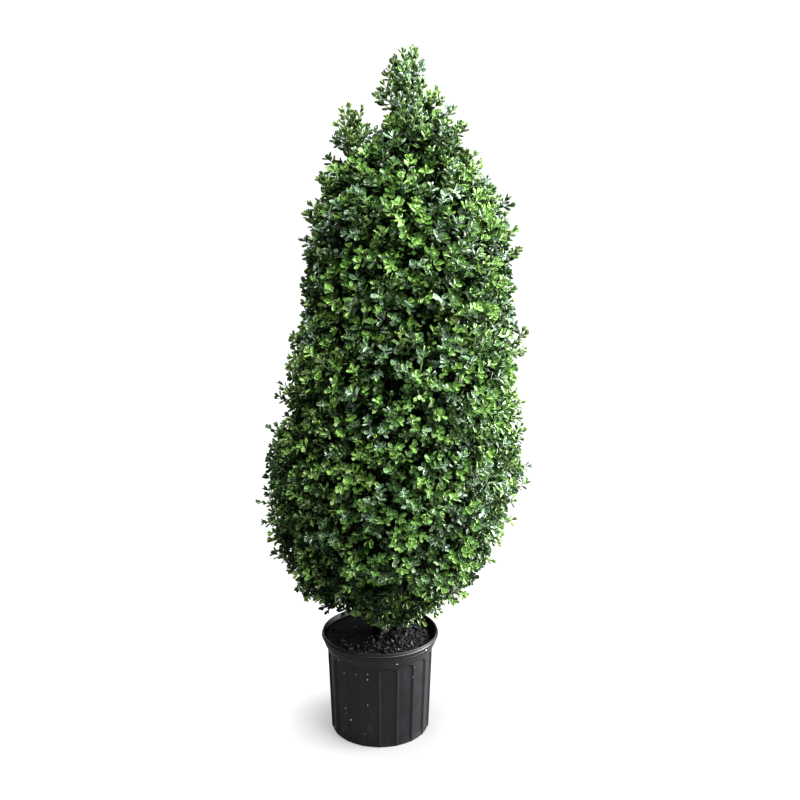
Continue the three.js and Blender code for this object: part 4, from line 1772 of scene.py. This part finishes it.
    def dress_stalks(self) -> None:
        """Make one piece of the bare stalks, in the green of the middle leaves."""
        root = np.array([stalk.root for stalk in self.stalks])
        tip = np.array([stalk.tip for stalk in self.stalks])
        radius = np.array([stalk.radius for stalk in self.stalks])
        number = np.array([stalk.mass for stalk in self.stalks])
        shoots = Shoots(root, (root + tip) / 2, tip, number, np.zeros(len(root), int))
        points, faces = tubes(
            shoots, self.stalk_rows, self.stalk_sides, radius, radius * self.stalk_taper,
        )
        node = self.outline.masses[self.stalks[0].mass].node
        material = bpy.data.materials[Tone.MIDDLE.material_name]
        build_piece(f"{node}_stalks", points, faces, material, (node,))


@dataclass(frozen=True)
class Stem:
    """The stem with the relief of its bark."""

    line: StemLine = StemLine()
    columns: int = 64
    rows: int = 190
    crowding: float = 1.25
    relief: float = 0.0011
    cells_round: int = 16
    cells_up: float = 75.0
    plate_share: float = 0.7
    plate_seed: int = 21
    fine_share: float = 0.3
    fine_seed: int = 22
    finer_round: int = 2
    finer_up: float = 2.6

    def build(self, effects: SharedEffects) -> None:
        """Build the stem: rings along its line, their radius roughened by stretched noise."""
        share = np.linspace(0, 1, self.rows) ** self.crowding
        z = (self.line.foot + share * (self.line.top - self.line.foot))[:, None]
        turn = 2 * np.pi * np.arange(self.columns) / self.columns
        across = turn / (2 * np.pi) * self.cells_round
        along = z * self.cells_up
        plates = lattice_noise(across, along, self.cells_round, self.plate_seed)
        fine = lattice_noise(
            self.finer_round * across, self.finer_up * along, self.finer_round * self.cells_round,
            self.fine_seed,
        )
        bare = self.line.radius_at(z)
        rough = self.plate_share * plates + self.fine_share * fine
        radius = bare + self.relief * rough * bare / self.line.radius
        centre = self.line.x_at(z)
        ring = round_axis(radius, turn, z, centre).reshape(-1, 3)
        ends = [[centre[0, 0], 0, z[0, 0]], [centre[-1, 0], 0, z[-1, 0]]]
        points = np.concatenate([ends[:1], ring, ends[1:]])
        faces = shell_faces(self.rows, self.columns)
        build_piece("stem_bark", points, faces, BarkFinish().build(effects), ("trunk",))


@dataclass(frozen=True)
class NurseryPot:
    """The round pot: rolled rim, collar, cove, and a wall pressed in as arched panels."""

    height: float = 0.189
    rim_radius: float = 0.1075
    collar_top: float = 0.1052
    collar_radius: float = 0.1026
    body_radius: float = 0.0968
    foot_radius: float = 0.0912
    wall: float = 0.0026
    rim_wall: float = 0.0042
    rim_round: float = 0.0015
    floor: float = 0.003
    bead: float = 0.0065
    bead_gap: float = 0.0012
    foot_edge: float = 0.003
    foot_fade: float = 0.010
    foot_share: float = 0.25
    lip: tuple[tuple[float, float], ...] = (
        (-0.0036, -0.0075), (-0.0030, -0.0069), (-0.0008, -0.0066), (0.0001, -0.0062),
        (0.0003, -0.0056), (0.0000, -0.0050), (-0.0008, -0.0043), (-0.0010, -0.0034),
        (-0.0011, -0.0022), (-0.0012, -0.0011), (-0.0015, -0.0004), (-0.0021, 0.0), (-0.0030, 0.0),
    )
    collar_foot: float = 0.171
    ridge: float = 0.1745
    ridge_rise: float = 0.0007
    ridge_width: float = 0.0008
    shoulder: float = 0.160
    step: float = 0.0011
    step_from: float = 0.0022
    step_to: float = 0.0010
    panels: int = 18
    sunk: float = 0.003
    panel_hollow: float = 0.0004
    half_panel: float = 8.7
    flank: float = 0.0010
    flank_top: float = 0.3
    arch_top: float = 0.156
    arch_rise: float = 0.012
    corner: float = 2.4
    columns_each: int = 18
    edge_rows: int = 6
    wall_rows: int = 26
    arch_rows: int = 16
    shoulder_rows: int = 7
    cove_rows: int = 12
    collar_rows: int = 22
    lip_rows: int = 5
    inner_rows: int = 16
    lower_rows: int = 8

    def outer_profile(self) -> tuple[Array, Array]:
        """Give the radius and height down the outside, from the underside to the rim's top.

        A quarter round at the foot, a straight taper, a small step, a cove that eases out to the
        collar with its ridge, and a lip that is undercut and flares at its lower edge.

        Returns:
            Radii and heights.
        """
        edge = np.linspace(-np.pi / 2, 0, self.edge_rows)
        foot_r = self.foot_radius - self.foot_edge * (1 - np.cos(edge))
        foot_z = self.foot_edge * (1 + np.sin(edge))
        arch_foot = self.arch_top - self.arch_rise
        wall_z = np.concatenate([
            np.linspace(self.foot_edge, arch_foot, self.wall_rows)[1:],
            np.linspace(arch_foot, self.arch_top, self.arch_rows)[1:],
            np.linspace(self.arch_top, self.shoulder, self.shoulder_rows)[1:],
        ])
        taper = np.minimum(wall_z / arch_foot, 1)
        step = smooth_step(self.shoulder - self.step_from, self.shoulder - self.step_to, wall_z)
        wall_r = self.foot_radius + (self.body_radius - self.foot_radius) * taper
        wall_r = wall_r + self.step * step
        cove_z = np.linspace(self.shoulder, self.collar_foot, self.cove_rows)[1:]
        cove = smooth_step(self.shoulder, self.collar_foot, cove_z)
        cove_r = wall_r[-1] + (self.collar_radius - wall_r[-1]) * cove
        bead_foot = self.height - self.bead
        collar_z = np.linspace(self.collar_foot, bead_foot - self.bead_gap, self.collar_rows)[1:]
        collar_r = np.interp(
            collar_z, [self.collar_foot, bead_foot], [self.collar_radius, self.collar_top],
        )
        ridge = np.exp(-((collar_z - self.ridge) / self.ridge_width) ** 2)
        collar_r = collar_r + self.ridge_rise * ridge
        lip_r, lip_z = np.array(self.lip).T
        return (
            np.concatenate([foot_r, wall_r, cove_r, collar_r, self.rim_radius + lip_r]),
            np.concatenate([foot_z, wall_z, cove_z, collar_z, self.height + lip_z]),
        )

    def inner_profile(self) -> tuple[Array, Array]:
        """Give the radius and height down the inside, from the rim's lip to the floor."""
        lip = np.linspace(0, np.pi / 2, self.lip_rows)
        rim_r = self.rim_radius - self.rim_wall
        lip_r = rim_r + self.rim_round * (1 - np.sin(lip))
        lip_z = self.height - self.rim_round * (1 - np.cos(lip))
        low_r = self.foot_radius - self.sunk - self.wall
        shoulder_r = self.body_radius - self.sunk - self.wall
        shoulder_z = self.shoulder - self.wall
        lip_foot = self.height - self.rim_round
        knots_z = [self.floor, shoulder_z, self.collar_foot, lip_foot]
        knots_r = [low_r, shoulder_r, self.collar_radius - self.wall, rim_r]
        z = np.concatenate([
            np.linspace(lip_foot, shoulder_z, self.inner_rows)[1:],
            np.linspace(shoulder_z, self.floor, self.lower_rows)[1:],
        ])
        return np.concatenate([lip_r, np.interp(z, knots_z, knots_r)]), np.concatenate([lip_z, z])

    def panel_depth(self, turn: Array, z: Array) -> Array:
        """Give how deep the wall is pressed in: the panels are straight below and arched above.

        The distance inside a panel's edge is its half width times 1 - rho, where rho^n is the
        n-th power of the share of the half width plus that of the share of the arch's rise. Each
        panel is a little hollow across, and they grow shallower towards the pot's foot.

        Args:
            turn: bearings, in radians.
            z: heights.

        Returns:
            Depths in metres.
        """
        pitch = 360 / self.panels
        across = ((np.degrees(turn) + pitch / 2) % pitch - pitch / 2) / self.half_panel
        half_width = np.radians(self.half_panel) * self.body_radius
        over = np.maximum(z - (self.arch_top - self.arch_rise), 0) / self.arch_rise
        bend = self.corner
        rho = (np.abs(across) ** bend + over ** bend) ** (1 / bend)
        inside = half_width * (1 - rho)
        depth = self.sunk + self.panel_hollow * np.clip(1 - across ** 2, 0, 1)
        depth = depth * smooth_step(-self.flank, self.flank * self.flank_top, inside)
        fade = smooth_step(0, self.foot_fade, z)
        return depth * (self.foot_share + (1 - self.foot_share) * fade)

    def build(self, effects: SharedEffects) -> None:
        """Build the pot as one turned skin, its outer wall pressed in by the panels."""
        columns = self.panels * self.columns_each
        turn = 2 * np.pi * (np.arange(columns) + 0.5) / columns
        outer_r, outer_z = self.outer_profile()
        inner_r, inner_z = self.inner_profile()
        outer = outer_r[:, None] - self.panel_depth(turn[None, :], outer_z[:, None])
        radius = np.concatenate([outer, inner_r[:, None] + 0 * turn[None, :]])
        z = np.concatenate([outer_z, inner_z])[:, None]
        ring = round_axis(radius, turn, z)
        points = np.concatenate([[[0, 0, 0]], ring.reshape(-1, 3), [[0, 0, self.floor]]])
        material = PlasticFinish().build(effects)
        faces = shell_faces(len(z), columns)
        build_piece("pot_shell", points, faces, material, ("nursery_pot",))


@dataclass(frozen=True)
class Lumps:
    """One scale of the grit's lumps: a cell's side, their rise, the lattice's size and seed."""

    side: float
    rise: float
    cells: int
    seed: int

    def at(self, x: Array, y: Array) -> Array:
        """Give the lumps' heights at places on the grit."""
        return self.rise * lattice_noise(x / self.side, y / self.side, self.cells, self.seed)


@dataclass(frozen=True)
class PottingMix:
    """The black grit in the pot: a rough low mound and loose grains on it."""

    pot: NurseryPot = NurseryPot()
    packed: GritFinish = GritFinish("grit_packed", "08080a", "111113", 0.95, 0.05)
    loose: GritFinish = GritFinish("grit_loose", "050507", "1d1d21", 0.6, 0.3)
    edge: float = 0.167
    left_edge: float = 0.181
    left_from: float = -0.35
    left_to: float = 0.75
    top: float = 0.184
    bottom: float = 0.0034
    side_top: float = 0.157
    side_inset: float = 0.0056
    flat_radius: float = 0.024
    clear: float = 0.001
    fall: float = 2.2
    smooth_share: float = 0.15
    rough_from: float = -0.015
    rough_to: float = 0.02
    lumps: Lumps = Lumps(0.012, 0.0019, 64, 31)
    crumbs: Lumps = Lumps(0.0048, 0.0028, 128, 32)
    stem_from: float = 0.016
    stem_to: float = 0.030
    stem_dip: float = 0.0004
    wall_strip: float = 0.004
    rings: int = 72
    columns: int = 180
    grains: int = 2000
    grain_seed: int = 41
    grain_bearing: float = -0.35
    grain_swing: float = 0.80
    grain_inset: float = 0.003
    grain_core: float = 0.04
    grain_lift: float = 0.15
    least_grain: float = 0.0013
    most_grain: float = 0.0078
    size_rise: float = 1.3
    size_fall: float = 4.5
    lump_sides: int = 5
    lump_waist: float = 0.9
    lump_ring: float = 0.45
    roughest: tuple[float, float] = (0.7, 1.25)
    stretch: tuple[float, float] = (0.6, 1.3)

    def edge_at(self, bearing: Array) -> Array:
        """Give the mound's height where it meets the wall: it is filled higher to the left."""
        left = smooth_step(self.left_from, self.left_to, -np.cos(bearing))
        return self.edge + (self.left_edge - self.edge) * left

    def brim_at(self, bearing: Array) -> Array:
        """Give the mound's outer radius, a little clear of the wall."""
        inner_r, inner_z = self.pot.inner_profile()
        return np.interp(self.edge_at(bearing), inner_z[::-1], inner_r[::-1]) - self.clear

    def height_at(self, x: Array, y: Array) -> Array:
        """Give the mound's height: a low dome and noise, rougher to the right than to the left.

        The dome falls by the share of the way to the brim, raised to a power, and the noise fades
        at the stem and at the wall.

        Args:
            x: places across.
            y: places in depth.

        Returns:
            Heights.
        """
        radius, bearing = np.hypot(x, y), np.arctan2(y, x)
        brim, edge = self.brim_at(bearing), self.edge_at(bearing)
        share = np.clip((radius - self.flat_radius) / (brim - self.flat_radius), 0, 1)
        dome = self.top - (self.top - edge) * share ** self.fall
        right = smooth_step(self.rough_from, self.rough_to, x)
        rough = self.smooth_share + (1 - self.smooth_share) * right
        off_stem = smooth_step(self.stem_from, self.stem_to, radius)
        off_wall = 1 - smooth_step(-self.wall_strip, 0.0, radius - brim)
        relief = (self.lumps.at(x, y) + self.crumbs.at(x, y)) * rough
        return dome + relief * off_stem * off_wall - self.stem_dip * off_stem

    def build(self, effects: SharedEffects) -> None:
        """Build the mound, a closed disc of rings, and the loose grains."""
        turn = 2 * np.pi * np.arange(self.columns) / self.columns
        radius = self.brim_at(turn) * np.linspace(1, 0, self.rings + 1)[:-1, None]
        x, y = radius * np.cos(turn), radius * np.sin(turn)
        mound = np.stack([x, y, self.height_at(x, y)], axis=-1).reshape(-1, 3)
        foot = round_axis(self.pot.foot_radius - self.side_inset, turn, self.bottom)
        side = round_axis(self.pot.body_radius - self.side_inset, turn, self.side_top)
        points = np.concatenate([[[0, 0, self.bottom]], foot, side, mound, [[0, 0, self.top]]])
        faces = shell_faces(self.rings + 2, self.columns)
        packed = self.packed.build(effects)
        build_piece("potting_mound", points, faces, packed, ("potting_soil",))
        self.build_grains(self.loose.build(effects))

    def build_grains(self, material: bpy.types.Material) -> None:
        """Scatter loose grains: rough twelve-cornered lumps, more of them to the right."""
        random = np.random.default_rng(self.grain_seed)
        count, sides = self.grains, self.lump_sides
        bearing = random.normal(self.grain_bearing, self.grain_swing, count)
        reach = np.sqrt(random.uniform(self.grain_core, 1, count))
        radius = (self.brim_at(bearing) - self.grain_inset) * reach
        x, y = radius * np.cos(bearing), radius * np.sin(bearing)
        share = random.beta(self.size_rise, self.size_fall, count)
        size = self.least_grain + (self.most_grain - self.least_grain) * share
        middle = np.stack([x, y, self.height_at(x, y) + self.grain_lift * size], axis=-1)
        turn = 2 * np.pi * np.arange(sides) / sides
        lower = round_axis(self.lump_waist, turn, -self.lump_ring)
        upper = round_axis(self.lump_waist, turn + np.pi / sides, self.lump_ring)
        lump = np.concatenate([[[0, 0, -1]], lower, upper, [[0, 0, 1]]])
        rough = lump[None] * random.uniform(*self.roughest, (count, len(lump), 1))
        stretched = rough * random.uniform(*self.stretch, (count, 1, 3))
        heading = unit(random.normal(0, 1, (count, 3)))
        axes = np.stack([*square_to(heading), heading], axis=1)
        turned = np.einsum("npk,nkj->npj", stretched, axes)
        points, faces = joined(middle[:, None] + size[:, None, None] * turned, shell_faces(2, sides))
        piece = build_piece("potting_grains", points, faces, material, ("potting_soil",))
        piece.data.polygons.foreach_set("use_smooth", np.zeros(len(faces), dtype=bool))


@dataclass(frozen=True)
class SoftLight:
    """One studio softbox: where it stands, what it faces, its size and its power."""

    name: str
    place: tuple[float, float, float]
    towards: tuple[float, float, float]
    size: float
    power: float


@dataclass(frozen=True)
class Studio:
    """The camera, the soft lights, the white surround and the pale floor."""

    camera_place: tuple[float, float, float] = (0.037, -1.729, 0.982)
    camera_pitch: float = 78.25
    lens: float = 45.0
    sensor: float = 36.0
    ambient: float = 0.08
    floor_half: float = 12.0
    white: tuple[float, ...] = (1.0, 1.0, 1.0, 1.0)
    # the light bounces off the lit paint, while the camera sees the darker seen paint, so the shadow
    # near the pot shows
    lit_paint: tuple[float, ...] = (0.24, 0.24, 0.24, 1.0)
    seen_paint: tuple[float, ...] = (0.17, 0.17, 0.17, 1.0)
    glow_span: tuple[float, float] = (0.09, 0.22)
    near_glow: float = 0.33
    lights: tuple[SoftLight, ...] = (
        SoftLight("key_right", (1.9, -1.4, 2.5), (0.02, 0, 0.72), 1.6, 235.0),
        SoftLight("side_right", (2.4, 0.1, 1.3), (0.05, 0, 0.6), 1.4, 205.0),
        SoftLight("low_right", (1.5, 0.0, 0.3), (0.09, 0, 0.1), 0.4, 32.0),
        SoftLight("top_soft", (-0.1, -0.9, 2.7), (0, 0, 0.9), 1.6, 80.0),
        SoftLight("fill_left", (-0.7, -1.3, 2.1), (-0.03, 0, 1.1), 0.9, 24.0),
        SoftLight("rim_back", (-0.7, 2.5, 1.9), (0, 0, 0.7), 1.8, 70.0),
    )

    def build(self) -> None:
        """Set up the whole studio."""
        self.build_camera()
        self.build_surround()
        for light in self.lights:
            self.build_light(light)
        self.build_floor()
        settings = bpy.context.scene.view_settings
        settings.view_transform = "Standard"
        settings.look = "Medium High Contrast"

    def build_camera(self) -> None:
        """Stand the camera where the photograph was taken from."""
        data = bpy.data.cameras.new("photo_camera")
        data.lens = self.lens
        data.sensor_width = self.sensor
        camera = bpy.data.objects.new("photo_camera", data)
        camera.location = self.camera_place
        camera.rotation_euler = (np.radians(self.camera_pitch), 0, 0)
        bpy.context.scene.collection.objects.link(camera)
        bpy.context.scene.camera = camera

    def build_surround(self) -> None:
        """Make the surround plain white, with a gentler light than it looks."""
        world = bpy.data.worlds.new("white_surround")
        world.use_nodes = True
        wiring = Wiring(world.node_tree)
        gentle = wiring.add("ShaderNodeBackground", Color=self.white, Strength=self.ambient)
        seen = wiring.add("ShaderNodeBackground", Color=self.white, Strength=1.0)
        camera_ray = wiring.add("ShaderNodeLightPath").outputs["Is Camera Ray"]
        blend = wiring.through(
            "ShaderNodeMixShader", {}, camera_ray, gentle.outputs[0], seen.outputs[0],
        )
        wiring.add("ShaderNodeOutputWorld", Surface=blend)
        bpy.context.scene.world = world

    def build_light(self, light: SoftLight) -> None:
        """Hang one square softbox that faces its mark."""
        data = bpy.data.lights.new(light.name, "AREA")
        data.size = light.size
        data.energy = light.power
        lamp = bpy.data.objects.new(light.name, data)
        lamp.location = light.place
        towards = Vector(light.towards) - Vector(light.place)
        lamp.rotation_euler = towards.to_track_quat("-Z", "Y").to_euler()
        bpy.context.scene.collection.objects.link(lamp)

    def build_floor(self) -> None:
        """Lay the pale floor. The camera sees it glow white, a third as much near the pot and fully
        beyond 0.22 m, which paints light over the outer part of its shadows, and sees a darker paint
        than the light does.
        """
        half = self.floor_half
        mesh = bpy.data.meshes.new("studio_floor")
        corners = [(-half, -half, 0), (half, -half, 0), (half, half, 0), (-half, half, 0)]
        mesh.from_pydata(corners, [], [(0, 1, 2, 3)])
        floor = bpy.data.objects.new("studio_floor", mesh)
        bpy.context.scene.collection.objects.link(floor)
        material, wiring = new_material("floor_white")
        away = wiring.add("ShaderNodeVectorMath", {"operation": "LENGTH"}, Vector=wiring.place())
        # painted light: the floor glows white to the camera, more so away from the pot, fading the
        # shadows out
        far = wiring.ramp(away.outputs["Value"], *self.glow_span, self.near_glow, 1.0)
        camera_ray = wiring.add("ShaderNodeLightPath").outputs["Is Camera Ray"]
        seen = wiring.maths("MULTIPLY", far, camera_ray)
        paint = wiring.mix(camera_ray, self.lit_paint, self.seen_paint)
        matte = wiring.add("ShaderNodeBsdfDiffuse", Color=paint)
        bright = wiring.add("ShaderNodeEmission", Strength=1.0)
        blend = wiring.through("ShaderNodeMixShader", {}, seen, matte.outputs[0], bright.outputs[0])
        wiring.add("ShaderNodeOutputMaterial", Surface=blend)
        mesh.materials.append(material)


def main() -> None:
    """Build the studio and each sub-assembly, from the pot up."""
    logging.basicConfig(level=logging.INFO, format="%(message)s")
    Studio().build()
    effects = SharedEffects()
    NurseryPot().build(effects)
    PottingMix().build(effects)
    Stem().build(effects)
    Crown().build(effects)


if __name__ == "__main__":
    main()
